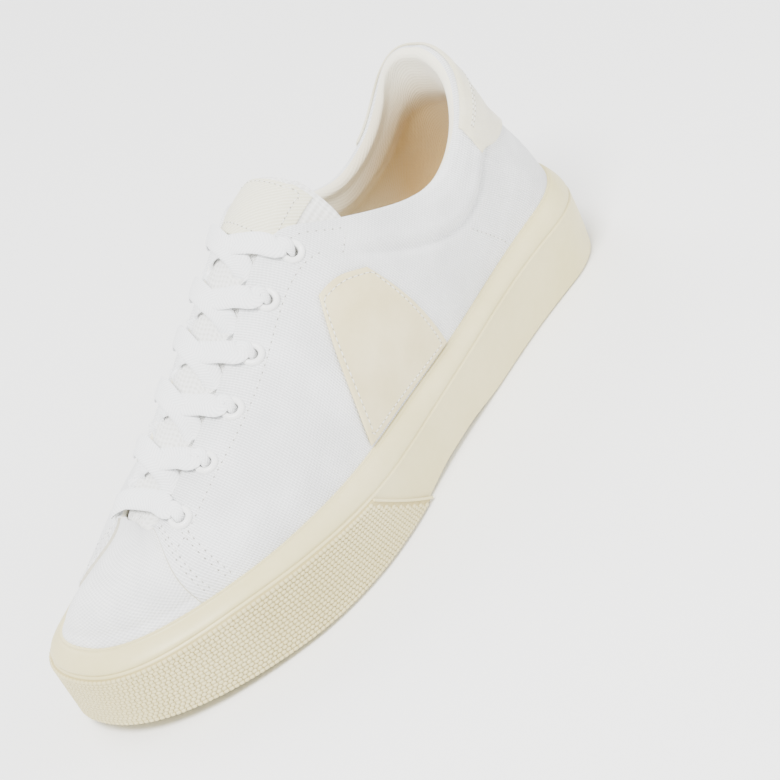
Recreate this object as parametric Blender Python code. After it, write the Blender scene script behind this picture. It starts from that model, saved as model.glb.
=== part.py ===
"""A low lace-up sneaker, left shoe: canvas upper on a moulded rubber cupsole.

Metres, +Z up, standing on the floor at z = 0. The toe points along -X, the outer
(lateral) side faces -Y and the inner (medial) side +Y. Everything is worked out from
the last: its length, ball width, instep height and heel height.
"""
import math

import bmesh
import bpy
import numpy as np

for old in list(bpy.data.objects):
    bpy.data.objects.remove(old)

# Sizes of the last
LENGTH = 0.293
BALL_WIDTH = 0.104
INSTEP_HEIGHT = 0.104
HEEL_HEIGHT = 0.1014

# Sizes of the sole
SIDEWALL_HEIGHT = 0.036
CREASE_HEIGHT = 0.0255
CREASE_DEPTH = 0.0006
SIDEWALL_LIP = 0.0038
SIDEWALL_TOP = 0.0018
SIDEWALL_DRAFT = 0.0008
FLOOR_HEIGHT = 0.019
TOE_SPRING = 0.0045
ARCH_RISE = 0.0016
SPRING_START_SHARE = 0.70
BOTTOM_ROUND = 0.0022
ROUND_SHARE = 0.3
RIM_WIDTH = 0.0085
TREAD_DEPTH = 0.0030
TREAD_CHAMFER = 0.0008
BUMPER_THICKNESS = 0.0011
BUMPER_EDGE_SHARE = 0.12
BUMPER_LOW_SHARE = 0.538
BUMPER_HIGH_SHARE = 0.600
HEEL_ROUND_SHARE = 0.132
HEEL_POWER = 2.3
TOE_ROUND_SHARE = 0.23
TOE_POWER = 2.2
TOE_SWING = 0.0036

# Sizes of the upper and what is on it
WALL = 0.0026
QUARTER_STEP = 0.0010
COLLAR_PAD_OUT = 0.0012
COLLAR_PAD_IN = 0.0030
INSOLE_THICKNESS = 0.0045
INSOLE_SLOPE_WIDTH = 0.010
INSOLE_DISH_SHARE = 0.75
TONGUE_THICKNESS = 0.0026
TONGUE_RISE = 0.023
TONGUE_FLAPS = (0.026, 0.016)
TONGUE_LEAN = 0.30
LEATHER = 0.0012
EYELET_RADIUS = 0.0045
EYELET_HOLE = 0.0021
EYELET_HEIGHT = 0.0009
EYELET_INSET = 0.0085
EYELET_ROWS = 6
FIRST_EYELET_DISTANCE = 0.0075
LAST_EYELET_DISTANCE = 0.001
EYELET_WALL = 0.0006
EYELET_SEAT = 0.0005
EYELET_SIDES = 8
LACE_STATIONS = 11
LACE_WIDTH = 0.0084
LACE_THICKNESS = 0.0014
LACE_LIFT = 0.0015
LACE_PRESS = 0.0002
GAP = 0.0003
SEAT = 0.0005

COLLAR_FOLD = 0.8
ROLL_ANGLES = (55.0, 125.0)
ARCH_FULLNESS = 0.36
COLUMNS = 80
SKIN_ROWS = 10
ROW_GATHER = 0.68
SEAM_SLIT_SHARE = 0.0008


def table(columns, *rows):
    """Rows of a table as one array for each named column."""
    return dict(zip(columns.split(), np.array(rows, dtype=float).T))


# Half widths of the sole's outline as shares of the ball width, by share of the length
OUTLINE = table("share lateral medial",
                (0.00, 0.372, 0.372),
                (0.10, 0.371, 0.372),
                (0.22, 0.378, 0.365),
                (0.36, 0.418, 0.346),
                (0.50, 0.470, 0.356),
                (0.62, 0.528, 0.398),
                (0.70, 0.541, 0.414),
                (0.78, 0.516, 0.394),
                (0.86, 0.468, 0.354),
                (0.93, 0.435, 0.365),
                (1.00, 0.410, 0.460))

# Heights of the sidewall's top edge, its crease and the foot bed, and how far the top edge
# leans in, as shares of their sizes
PROFILE = table("share top crease floor lip",
                (0.00, 1.000, 0.980, 1.00, 1.00),
                (0.15, 0.930, 1.000, 0.98, 1.00),
                (0.35, 0.840, 0.925, 0.88, 1.00),
                (0.55, 0.890, 0.905, 0.72, 1.00),
                (0.72, 0.985, 1.080, 0.62, 1.00),
                (0.86, 0.985, 1.180, 0.66, 1.25),
                (1.00, 0.950, 1.080, 0.76, 1.55))

# The opening's edge from heel to toe: station as a share of the length, distance from the
# centre line as a share of the ball width, height as a share of the height of heel or instep
EDGE_LATERAL = table("share station out height",
                     (0.00, 0.078, 0.000, 1.000),
                     (0.10, 0.090, 0.135, 0.979),
                     (0.15, 0.109, 0.216, 0.923),
                     (0.20, 0.146, 0.274, 0.839),
                     (0.25, 0.188, 0.303, 0.766),
                     (0.30, 0.239, 0.322, 0.725),
                     (0.35, 0.297, 0.336, 0.751),
                     (0.40, 0.362, 0.327, 0.834),
                     (0.44, 0.414, 0.300, 0.912),
                     (0.475, 0.454, 0.258, 0.972),
                     (0.500, 0.479, 0.212, 1.004),
                     (0.520, 0.501, 0.181, 1.000),
                     (0.62, 0.634, 0.168, 0.808),
                     (0.72, 0.758, 0.160, 0.655),
                     (0.80, 0.838, 0.145, 0.565),
                     (0.88, 0.850, 0.090, 0.585),
                     (1.00, 0.850, 0.040, 0.595))
EDGE_MEDIAL = table("share station out height",
                    (0.00, 0.078, 0.000, 1.000),
                    (0.10, 0.090, 0.126, 0.972),
                    (0.15, 0.109, 0.194, 0.890),
                    (0.20, 0.143, 0.236, 0.780),
                    (0.25, 0.183, 0.268, 0.708),
                    (0.30, 0.233, 0.292, 0.685),
                    (0.35, 0.287, 0.308, 0.731),
                    (0.40, 0.342, 0.285, 0.820),
                    (0.44, 0.384, 0.240, 0.925),
                    (0.475, 0.424, 0.180, 0.995),
                    (0.500, 0.454, 0.138, 1.018),
                    (0.520, 0.483, 0.114, 1.002),
                    (0.62, 0.619, 0.080, 0.832),
                    (0.72, 0.748, 0.058, 0.680),
                    (0.80, 0.834, 0.046, 0.578),
                    (0.88, 0.850, 0.005, 0.592),
                    (1.00, 0.850, -0.040, 0.595))

# How the wall leaves the sidewall and reaches the edge, as shares of the span between them
BELLY_LATERAL = table("share out_low up_low out_high down_high",
                      (0.00, -0.03, 0.30, 0.00, 0.36),
                      (0.20, 0.02, 0.32, 0.02, 0.36),
                      (0.35, 0.10, 0.34, 0.10, 0.36),
                      (0.50, 0.04, 0.36, 0.24, 0.26),
                      (0.65, 0.03, 0.36, 0.34, 0.16),
                      (0.80, 0.03, 0.38, 0.38, 0.10),
                      (1.00, 0.02, 0.42, 0.40, 0.10))
BELLY_MEDIAL = table("share out_low up_low out_high down_high",
                     (0.00, -0.03, 0.30, 0.00, 0.36),
                     (0.20, 0.02, 0.32, 0.02, 0.36),
                     (0.35, 0.04, 0.34, 0.06, 0.36),
                     (0.50, 0.00, 0.34, 0.16, 0.30),
                     (0.65, 0.00, 0.30, 0.17, 0.30),
                     (0.80, -0.02, 0.24, 0.19, 0.31),
                     (0.92, -0.02, 0.30, 0.27, 0.22),
                     (1.00, 0.02, 0.42, 0.40, 0.10))

# The vamp's seam under the quarters: place along the half outline, by height on the wall
SEAM = table("height lateral medial",
             (0.00, 0.800, 0.800),
             (0.50, 0.806, 0.806),
             (1.00, 0.820, 0.820))

# The heel tab's lower edge on the wall, by place along the half outline
HEEL_TAB = table("share low",
                 (0.00, 0.40),
                 (0.10, 0.42),
                 (0.16, 0.50),
                 (0.21, 0.74),
                 (0.232, 0.91))

# The side panel's front and rear edge along the half outline, by height on the wall
SIDE_PANEL = table("height front rear",
                   (0.02, 0.560, 0.425),
                   (0.30, 0.556, 0.438),
                   (0.55, 0.545, 0.455),
                   (0.68, 0.532, 0.468))


def smooth(tab, column, at, key="share", flat=False):
    """A column's value at places of the key, on a cubic spline through the rows."""
    knots = tab[key]
    values = tab[column]
    n = len(knots)
    h = np.diff(knots)
    slope = np.diff(values) / h
    matrix = np.eye(n) * 2.0
    right = np.zeros(n)
    for i in range(1, n - 1):
        matrix[i, i - 1:i + 2] = h[i - 1], 2.0 * (h[i - 1] + h[i]), h[i]
        right[i] = 6.0 * (slope[i] - slope[i - 1])
    if flat:
        matrix[0, :2] = 2.0 * h[0], h[0]
        right[0] = 6.0 * slope[0]
        matrix[-1, -2:] = h[-1], 2.0 * h[-1]
        right[-1] = -6.0 * slope[-1]
    bend = np.linalg.solve(matrix, right)
    at = np.clip(at, knots[0], knots[-1])
    i = np.clip(np.searchsorted(knots, at, side="right") - 1, 0, n - 2)
    t = (at - knots[i]) / h[i]
    s = 1.0 - t
    curve = (s ** 3 - s) * bend[i] + (t ** 3 - t) * bend[i + 1]
    return s * values[i] + t * values[i + 1] + curve * h[i] ** 2 / 6.0


def ramp(at, start, end):
    """0 before start, 1 after end, with a soft passage between."""
    t = np.clip((at - start) / (end - start), 0.0, 1.0)
    return t * t * (3.0 - 2.0 * t)


def halves(u):
    """Place along the half outline (0 heel, 1 toe) and side (-1 lateral, 1 medial)."""
    u = np.mod(u, 1.0)
    return np.where(u <= 0.5, 2.0 * u, 2.0 - 2.0 * u), np.where(u <= 0.5, -1.0, 1.0)


def by_side(side, lateral, medial):
    return np.where(side < 0.0, lateral, medial)


def rounded_end(share, power):
    return (1.0 - (1.0 - np.clip(share, 0.0, 1.0)) ** power) ** (1.0 / power)


def share_of_length(u):
    """How far along the length a place of the outline lies, 0 at the heel."""
    return 0.5 - 0.5 * np.cos(np.pi * halves(u)[0])


def raw_outline(u):
    side = halves(u)[1]
    share = share_of_length(u)
    width = by_side(side, smooth(OUTLINE, "lateral", share), smooth(OUTLINE, "medial", share))
    heel = rounded_end(share / HEEL_ROUND_SHARE, HEEL_POWER)
    toe = rounded_end((1.0 - share) / TOE_ROUND_SHARE, TOE_POWER)
    swing = TOE_SWING * np.clip((share - 0.6) / 0.4, 0.0, 1.0) ** 2
    return LENGTH * (0.5 - share), side * width * BALL_WIDTH * heel * toe + swing


_reach = raw_outline(np.linspace(0.0, 1.0, 721))[1]
CENTRE_Y = (_reach.max() + _reach.min()) / 2.0


def outline(u, inset=0.0):
    """Points of the sole's outline seen from above, moved in by an inset."""
    step = 1e-4
    x, y = raw_outline(u)
    ahead = raw_outline(u + step)
    behind = raw_outline(u - step)
    dx = ahead[0] - behind[0]
    dy = ahead[1] - behind[1]
    size = np.hypot(dx, dy)
    return x + inset * dy / size, y - CENTRE_Y - inset * dx / size


def outward(u):
    """Level unit vector that points out of the outline."""
    x0, y0 = outline(u)
    x1, y1 = outline(u, -1.0)
    return np.stack([x1 - x0, y1 - y0, np.zeros_like(x0)], axis=-1)


def ground(share):
    """Height of the sole's underside: flat heel and ball, raised arch and toe."""
    spring = TOE_SPRING * np.clip((share - SPRING_START_SHARE) / (1.0 - SPRING_START_SHARE), 0.0, 1.0) ** 2
    arch = ARCH_RISE * ramp(share, 0.33, 0.43) * (1.0 - ramp(share, 0.48, 0.58))
    return spring + arch


def top_height(share):
    return SIDEWALL_HEIGHT * smooth(PROFILE, "top", share)


def crease_height(share):
    return CREASE_HEIGHT * smooth(PROFILE, "crease", share)


def floor_height(share):
    return FLOOR_HEIGHT * smooth(PROFILE, "floor", share)


def lip(share):
    return SIDEWALL_LIP * smooth(PROFILE, "lip", share)


def cup_wall(u):
    """Thickness of the cup's side, from the outline in to the upper."""
    return lip(share_of_length(u)) + SIDEWALL_TOP


def ring(u, inset, height):
    x, y = outline(u, inset)
    return np.stack([x, y, np.broadcast_to(height, x.shape)], axis=-1)


def foot(u):
    """Where the upper leaves the cup: the outer skin at the sidewall's top edge."""
    return ring(u, cup_wall(u) + GAP, top_height(share_of_length(u)))


def edge(u):
    """The opening's edge: collar, top corners and throat."""
    s, side = halves(u)
    place = []
    for column, flat in (("station", True), ("out", False), ("height", True)):
        lateral = smooth(EDGE_LATERAL, column, s, flat=flat)
        medial = smooth(EDGE_MEDIAL, column, s, flat=flat)
        place.append(by_side(side, lateral, medial))
    x = LENGTH * (0.5 - place[0])
    y = side * place[1] * BALL_WIDTH - CENTRE_Y
    height = HEEL_HEIGHT + (INSTEP_HEIGHT - HEEL_HEIGHT) * ramp(s, 0.15, 0.45)
    return np.stack([x, y, place[2] * height], axis=-1)


def handles(u):
    """Control points of the wall's section at a place of the outline."""
    s, side = halves(u)
    low = foot(u)
    high = edge(u)
    span = np.linalg.norm(high - low, axis=-1)[..., None]
    out = outward(u)
    up = np.array([0.0, 0.0, 1.0])

    def share(column):
        lateral = smooth(BELLY_LATERAL, column, s, flat=True)
        medial = smooth(BELLY_MEDIAL, column, s, flat=True)
        return by_side(side, lateral, medial)[..., None]

    near_low = low + span * (share("out_low") * out + share("up_low") * up)
    near_high = high + span * (share("out_high") * out - share("down_high") * up)
    return low, near_low, near_high, high


def collar_padding(u, v):
    """How far the collar's padding has swollen, 0 to 1."""
    s = halves(u)[0]
    return ramp(v, 0.60, 0.80) * (1.0 - ramp(s, 0.34, 0.45))


def bare_skin(u, v):
    low, near_low, near_high, high = handles(u)
    v = np.asarray(v)[..., None]
    w = 1.0 - v
    return w ** 3 * low + 3.0 * w * w * v * near_low + 3.0 * w * v * v * near_high + v ** 3 * high


def skin_normal(u, v):
    step = 1e-4
    v = np.clip(v, 0.002, 0.998)
    along = bare_skin(u + step, v) - bare_skin(u - step, v)
    rise = bare_skin(u, v + step) - bare_skin(u, v - step)
    normal = np.cross(rise, along)
    return normal / np.linalg.norm(normal, axis=-1)[..., None]


def skin(u, v, out=0.0):
    """The quarters' outer face at u round the foot and v up the wall, moved out."""
    u, v = np.broadcast_arrays(np.asarray(u, dtype=float), np.asarray(v, dtype=float))
    lift = out + COLLAR_PAD_OUT * collar_padding(u, v) * ramp(1.02 - v, 0.0, 0.10)
    return bare_skin(u, v) + skin_normal(u, v) * np.asarray(lift)[..., None]


def make_object(name, points, faces, colour, roughness, smooth_angle=35.0):
    """A named closed body with its own material."""
    mesh = bpy.data.meshes.new(name)
    mesh.from_pydata([tuple(p) for p in points], [], faces)
    shape = bmesh.new()
    shape.from_mesh(mesh)
    bmesh.ops.remove_doubles(shape, verts=shape.verts, dist=1e-7)
    bmesh.ops.recalc_face_normals(shape, faces=shape.faces)
    if shape.calc_volume(signed=True) < 0.0:
        bmesh.ops.reverse_faces(shape, faces=shape.faces)
    shape.to_mesh(mesh)
    shape.free()
    mesh.shade_smooth()
    mesh.set_sharp_from_angle(angle=math.radians(smooth_angle))
    material = bpy.data.materials.new(name)
    material.use_nodes = True
    shader = material.node_tree.nodes["Principled BSDF"]
    shader.inputs["Base Color"].default_value = (*colour, 1.0)
    shader.inputs["Roughness"].default_value = roughness
    mesh.materials.append(material)
    item = bpy.data.objects.new(name, mesh)
    bpy.context.collection.objects.link(item)
    return item


def ring_faces(rows, columns, closed):
    """Faces between rows of a loop, the last row joined to the first where closed."""
    faces = []
    for j in range(rows if closed else rows - 1):
        below = j * columns
        above = (j + 1) % rows * columns
        for i in range(columns):
            k = (i + 1) % columns
            faces.append((below + i, below + k, above + k, above + i))
    return faces


def ladder(columns, offset):
    """Faces that close a loop by joining its lateral half to its medial half."""
    half = columns // 2
    faces = [(offset, offset + 1, offset + columns - 1),
             (offset + half - 1, offset + half, offset + half + 1)]
    for i in range(1, half - 1):
        faces.append((offset + i, offset + i + 1, offset + columns - i - 1, offset + columns - i))
    return faces


def hoop(name, rows, *look):
    """A closed hollow body from loops that run round its section."""
    columns = len(rows[0])
    return make_object(name, np.concatenate(rows), ring_faces(len(rows), columns, True), *look)


def slab(name, rows, *look):
    """A closed body from loops, its first and last loop closed by ladders."""
    columns = len(rows[0])
    faces = ring_faces(len(rows), columns, False)
    faces += ladder(columns, 0) + ladder(columns, (len(rows) - 1) * columns)
    return make_object(name, np.concatenate(rows), faces, *look)


def sheet(name, front, back, *look):
    """A closed thin body between two grids of points of one size."""
    rows, columns = front.shape[:2]
    count = rows * columns
    faces = []
    for j in range(rows - 1):
        for i in range(columns - 1):
            a = j * columns + i
            quad = (a, a + 1, a + columns + 1, a + columns)
            faces.append(quad)
            faces.append(tuple(count + k for k in reversed(quad)))
    rim = [i for i in range(columns)]
    rim += [j * columns + columns - 1 for j in range(1, rows)]
    rim += [(rows - 1) * columns + i for i in range(columns - 2, -1, -1)]
    rim += [j * columns for j in range(rows - 2, 0, -1)]
    for a, b in zip(rim, rim[1:] + rim[:1]):
        faces.append((a, count + a, count + b, b))
    points = np.concatenate([front.reshape(-1, 3), back.reshape(-1, 3)])
    return make_object(name, points, faces, *look)


RUBBER = (0.68, 0.65, 0.55)
TAN = (0.52, 0.45, 0.32)
CANVAS = (0.80, 0.80, 0.80)
CREAM = (0.71, 0.68, 0.57)


def sole_columns():
    return np.arange(COLUMNS) / COLUMNS


def make_cupsole():
    """The moulded cup: rim on the floor, sidewall with its crease, and the foot bed."""
    u = sole_columns()
    share = share_of_length(u)
    base = ground(share)
    crease = crease_height(share)
    top = top_height(share)
    bed = floor_height(share)
    rows = [ring(u, RIM_WIDTH, base + TREAD_DEPTH),
            ring(u, RIM_WIDTH, base),
            ring(u, BOTTOM_ROUND, base),
            ring(u, SIDEWALL_DRAFT + ROUND_SHARE * BOTTOM_ROUND, base + ROUND_SHARE * BOTTOM_ROUND),
            ring(u, SIDEWALL_DRAFT, base + BOTTOM_ROUND),
            ring(u, 0.0, crease - CREASE_DEPTH),
            ring(u, CREASE_DEPTH, crease),
            ring(u, 0.5 * CREASE_DEPTH, crease + CREASE_DEPTH),
            ring(u, lip(share), top - ROUND_SHARE * SIDEWALL_TOP),
            ring(u, lip(share) + ROUND_SHARE * SIDEWALL_TOP, top),
            ring(u, cup_wall(u), top),
            ring(u, cup_wall(u), bed)]
    return slab("cupsole", rows, RUBBER, 0.5)


def make_outsole():
    """The tread plate let into the cup's underside."""
    u = sole_columns()
    base = ground(share_of_length(u))
    inset = RIM_WIDTH + GAP
    rows = [ring(u, inset + TREAD_CHAMFER, base),
            ring(u, inset, base + TREAD_CHAMFER),
            ring(u, inset, base + TREAD_DEPTH - GAP)]
    return slab("outsole", rows, TAN, 0.6)


def make_toe_bumper():
    """The proud band round the toe, below the crease, its two ends slanted."""
    places = sole_columns()
    reach = 0.5 - 0.5 * max(BUMPER_LOW_SHARE, BUMPER_HIGH_SHARE) - 0.5 / COLUMNS
    places = places[np.abs(places - 0.5) < reach]
    front = []
    back = []
    for h, swell in ((0.0, 0.4), (BUMPER_EDGE_SHARE, 1.0), (1.0 - BUMPER_EDGE_SHARE, 1.0), (1.0, 0.4)):
        start = 0.5 * (BUMPER_LOW_SHARE + (BUMPER_HIGH_SHARE - BUMPER_LOW_SHARE) * h)
        end = start + (places[0] - start) * np.linspace(0.0, 1.0, 4)[:-1]
        u = np.concatenate([end, places, 1.0 - end[::-1]])
        share = share_of_length(u)
        low = ground(share) + 0.5 * BOTTOM_ROUND
        high = crease_height(share) - CREASE_DEPTH - GAP
        z = low + (high - low) * h
        inset = SIDEWALL_DRAFT * (1.0 - h)
        front.append(ring(u, inset - SEAT - BUMPER_THICKNESS * swell, z))
        back.append(ring(u, inset - SEAT, z))
    return sheet("toe_bumper", np.array(front), np.array(back), RUBBER, 0.6)


def wall_columns(v):
    """Places of the upper's columns at a height, gathered at the vamp's seams."""
    lateral = smooth(SEAM, "lateral", v, key="height") / 2.0
    medial = 1.0 - smooth(SEAM, "medial", v, key="height") / 2.0
    side = int(round(COLUMNS * 0.40))
    front = COLUMNS - 2 * side
    rear_lateral = np.linspace(0.0, lateral - SEAM_SLIT_SHARE, side)
    vamp = np.linspace(lateral + SEAM_SLIT_SHARE, medial - SEAM_SLIT_SHARE, front)
    rear_medial = np.linspace(medial + SEAM_SLIT_SHARE, 1.0, side + 1)[:-1]
    return np.concatenate([rear_lateral, vamp, rear_medial]), side, front


def wall_sink():
    """How far each column's outer face lies inside the quarters' face."""
    side, front = wall_columns(0.0)[1:]
    sink = np.zeros(COLUMNS)
    sink[side:side + front] = QUARTER_STEP
    return sink


def roll(outer, inner, rise, angle, out=0.0):
    """The rounded edge over the wall between its faces, 0 degrees outside to 180 inside."""
    reach = (outer - inner) / 2.0
    half = np.linalg.norm(reach, axis=-1)[:, None]
    turn = math.radians(angle)
    lean = reach * math.cos(turn) + rise * half * COLLAR_FOLD * math.sin(turn)
    return (outer + inner) / 2.0 + lean * (1.0 + out / half)


def rising(u):
    """Direction of the wall's face at the opening's edge."""
    rise = bare_skin(u, 1.0) - bare_skin(u, 0.98)
    return rise / np.linalg.norm(rise, axis=-1)[..., None]


def inner_skin(u, v):
    return skin(u, v, -WALL - (COLLAR_PAD_IN + COLLAR_PAD_OUT) * collar_padding(u, v))


def make_upper():
    """Vamp, quarters and padded collar as one hollow wall, open at collar and throat."""
    sink = wall_sink()
    outer = []
    inner = []
    for v in np.linspace(0.0, 1.0, SKIN_ROWS) ** ROW_GATHER:
        u = wall_columns(v)[0]
        outer.append(skin(u, v, -sink))
        inner.append(inner_skin(u, v))
    u = wall_columns(0.0)[0]
    share = share_of_length(u)
    bed = floor_height(share) + GAP
    skirt_out = [ring(u, cup_wall(u) + GAP + sink, bed)]
    skirt_in = [ring(u, cup_wall(u) + GAP + WALL, bed)]
    rise = rising(wall_columns(1.0)[0])
    rim = [roll(outer[-1], inner[-1], rise, angle) for angle in ROLL_ANGLES]
    rows = skirt_out + outer + rim + inner[::-1] + skirt_in
    return hoop("upper", rows, CANVAS, 0.9)


def make_insole():
    """The removable footbed, slightly dished."""
    u = sole_columns()
    inset = cup_wall(u) + GAP + WALL + GAP
    bed = floor_height(share_of_length(u)) + GAP
    rows = [ring(u, inset, bed),
            ring(u, inset, bed + INSOLE_THICKNESS),
            ring(u, inset + INSOLE_SLOPE_WIDTH, bed + INSOLE_DISH_SHARE * INSOLE_THICKNESS)]
    return slab("insole", rows, CREAM, 0.9)


def arch(s, t, out=0.0):
    """The throat bridged from lateral edge (t 0) to medial edge (t 1), moved out."""
    s, t = np.broadcast_arrays(np.asarray(s, dtype=float), np.asarray(t, dtype=float))

    def bridge(s, t):
        near_l, high_l = handles(0.5 * s)[2:]
        near_m, high_m = handles(1.0 - 0.5 * s)[2:]
        reach = ARCH_FULLNESS * np.linalg.norm(high_m - high_l, axis=-1)[..., None]
        lean_l = high_l - near_l
        lean_m = high_m - near_m
        control_l = high_l + reach * lean_l / np.linalg.norm(lean_l, axis=-1)[..., None]
        control_m = high_m + reach * lean_m / np.linalg.norm(lean_m, axis=-1)[..., None]
        t = t[..., None]
        w = 1.0 - t
        return w ** 3 * high_l + 3 * w * w * t * control_l + 3 * w * t * t * control_m + t ** 3 * high_m

    step = 1e-3
    across = bridge(s, np.minimum(t + step, 1.0)) - bridge(s, np.maximum(t - step, 0.0))
    along = bridge(s + step, t) - bridge(s - step, t)
    normal = np.cross(across, along)
    normal /= np.linalg.norm(normal, axis=-1)[..., None]
    return bridge(s, t) + normal * np.asarray(out)[..., None], normal


def down_the_wall(u, distance):
    """The height v on the wall that lies a distance below the opening's edge."""
    v = np.linspace(1.0, 0.0, 60)
    path = bare_skin(np.full(60, u), v)
    run = np.concatenate([[0.0], np.cumsum(np.linalg.norm(np.diff(path, axis=0), axis=1))])
    return float(np.interp(distance, run, v))


THROAT_TOP = 0.520
THROAT_FRONT = 0.80
TONGUE_PLACES = np.linspace(0.0, 1.0, 9)
TONGUE_ROWS = 8
TONGUE_TOP_ROWS = 5
TONGUE_FRONT_FLAP = 0.0055
TONGUE_EASE = 0.0004
TONGUE_FRONT_EASE = 0.0014
TONGUE_UNDERLAP = 0.006
TONGUE_ROUND = 0.10


def under_wall(u, flap, depth, start=0.0):
    """Points of a tongue's flap under a quarter, the one nearest the throat first."""
    return [skin(u, down_the_wall(u, start + flap * share), -depth) for share in (0.5, 1.0)]


def tongue_section(s, flaps, depth, tuck=0.0):
    """Points across the tongue at a place of the throat: lateral flap, arch, medial flap."""
    lateral = under_wall(0.5 * s, flaps[0], depth + tuck)
    middle = [arch(s, t, -depth)[0] for t in TONGUE_PLACES]
    medial = under_wall(1.0 - 0.5 * s, flaps[1], depth + tuck)
    return np.array(lateral[::-1] + middle + medial)


def tongue_front(flap, depth, under):
    """The tongue at a distance under the vamp's edge."""
    u = 0.5 * THROAT_FRONT + (1.0 - THROAT_FRONT) * TONGUE_PLACES
    middle = [skin(place, down_the_wall(place, under), -depth) for place in u]
    lateral = under_wall(u[0], flap, depth, under)
    return np.array(lateral[::-1] + middle + under_wall(u[-1], flap, depth, under))


def tongue_face(depth):
    """One face of the tongue: under the vamp, along the throat and up over the instep."""
    narrow = TONGUE_FRONT_FLAP
    room = LEATHER + 3.0 * GAP

    def tuck(k):
        return TONGUE_EASE + room * ramp(k, -1.5, 3.0)

    rows = [tongue_front(narrow, depth + TONGUE_FRONT_EASE, TONGUE_UNDERLAP),
            tongue_front(narrow, depth + TONGUE_FRONT_EASE, 0.0)]
    first = THROAT_FRONT - 0.125 * (THROAT_FRONT - THROAT_TOP)
    for k, s in zip(range(1 - TONGUE_ROWS, 1), np.linspace(first, THROAT_TOP, TONGUE_ROWS)):
        flaps = [flap + (flap - narrow) * k / (TONGUE_ROWS - 1) for flap in TONGUE_FLAPS]
        rows.append(tongue_section(s, flaps, depth, tuck(k)))
    middle = rows[-1].shape[0] // 2
    run = rows[-1][middle] - rows[-3][middle]
    slope = math.atan2(run[2], run[0])
    drift = run[1] / np.linalg.norm(run)
    place = np.linspace(-1.0, 1.0, rows[-1].shape[0])[:, None]
    shift = np.zeros(3)
    for k in range(1, TONGUE_TOP_ROWS + 1):
        share = k / TONGUE_TOP_ROWS
        heading = slope * (1.0 - 0.8 * share)
        shift = shift + np.array([math.cos(heading), drift, math.sin(heading)])
        row = tongue_section(THROAT_TOP, TONGUE_FLAPS, depth, tuck(k))
        slanted = 1.0 - share * (TONGUE_LEAN * place + TONGUE_ROUND * np.abs(place) ** 3)
        rows.append(row + shift * TONGUE_RISE / TONGUE_TOP_ROWS * slanted)
    return np.array(rows)


def make_tongue():
    """The padded tongue, its sides lying under the quarters."""
    front = tongue_face(WALL + GAP)
    back = tongue_face(WALL + GAP + TONGUE_THICKNESS)
    return sheet("tongue", front, back, CANVAS, 0.9)


def make_tongue_label():
    """The plain label sewn over the tongue's top."""
    face = tongue_face(WALL + GAP)[TONGUE_ROWS + 3:-1, 1:-1]
    face[:, 0] = (face[:, 0] + face[:, 1]) / 2.0
    face[:, -1] = (face[:, -1] + face[:, -2]) / 2.0
    normal = np.cross(np.gradient(face, axis=0), np.gradient(face, axis=1))
    normal /= np.linalg.norm(normal, axis=-1)[..., None]
    return sheet("tongue_label", face + normal * (GAP + LEATHER), face + normal * GAP, CREAM, 0.8)


def make_heel_tab():
    """The suede tab over the heel, folded a little way over the collar's roll."""
    last = HEEL_TAB["share"][-1]
    places = np.linspace(-last, last, 19)
    u = np.mod(places / 2.0, 1.0)
    low = smooth(HEEL_TAB, "low", np.abs(places), flat=True)
    faces = []
    for out in (SEAT + LEATHER, SEAT):
        grid = [skin(u, low + (1.0 - low) * h, out) for h in np.linspace(0.0, 1.0, 5)]
        outer = skin(u, 1.0)
        grid.append(roll(outer, inner_skin(u, 1.0), rising(u), ROLL_ANGLES[0], out))
        faces.append(np.array(grid))
    return sheet("heel_tab", faces[0], faces[1], CREAM, 0.9)


def make_side_panel(name, side):
    """A plain stitched leather panel on the quarter, rising from the sidewall."""
    heights = np.linspace(SIDE_PANEL["height"][0], SIDE_PANEL["height"][-1], 6)
    front_edge = smooth(SIDE_PANEL, "front", heights, key="height")
    rear_edge = smooth(SIDE_PANEL, "rear", heights, key="height")
    places = rear_edge + (front_edge - rear_edge) * np.linspace(0.0, 1.0, 5)[:, None]
    u = places / 2.0 if side < 0 else 1.0 - places / 2.0
    v = np.broadcast_to(heights, places.shape)
    return sheet(name, skin(u, v, SEAT + LEATHER), skin(u, v, SEAT), CREAM, 0.6)


def eyelet_places():
    """Places of the rows along the throat, the lowest first, equally far apart."""
    s = np.linspace(THROAT_FRONT, THROAT_TOP, 60)
    path = edge(0.5 * s)
    run = np.concatenate([[0.0], np.cumsum(np.linalg.norm(np.diff(path, axis=0), axis=1))])
    rows = np.linspace(FIRST_EYELET_DISTANCE, run[-1] + LAST_EYELET_DISTANCE, EYELET_ROWS)
    return np.interp(rows, run, s) - np.maximum(rows - run[-1], 0.0) / (run[-1] / (s[0] - s[-1]))


def eyelet_spot(side, s):
    u = 0.5 * s if side < 0 else 1.0 - 0.5 * s
    return u, down_the_wall(u, EYELET_INSET)


def eyelet_frame(side, s):
    """Centre on the wall's face and two directions in it, with the normal."""
    u, v = eyelet_spot(side, s)
    normal = skin_normal(np.array(u), np.array(v))
    first = np.cross(normal, [0.0, 0.0, 1.0])
    first /= np.linalg.norm(first)
    return skin(u, v), first, np.cross(normal, first), normal


def turned(centre, first, second, axis, radius, height, sides):
    angle = 2.0 * np.pi * np.arange(sides)[:, None] / sides
    return centre + radius * (np.cos(angle) * first + np.sin(angle) * second) + height * axis


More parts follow.
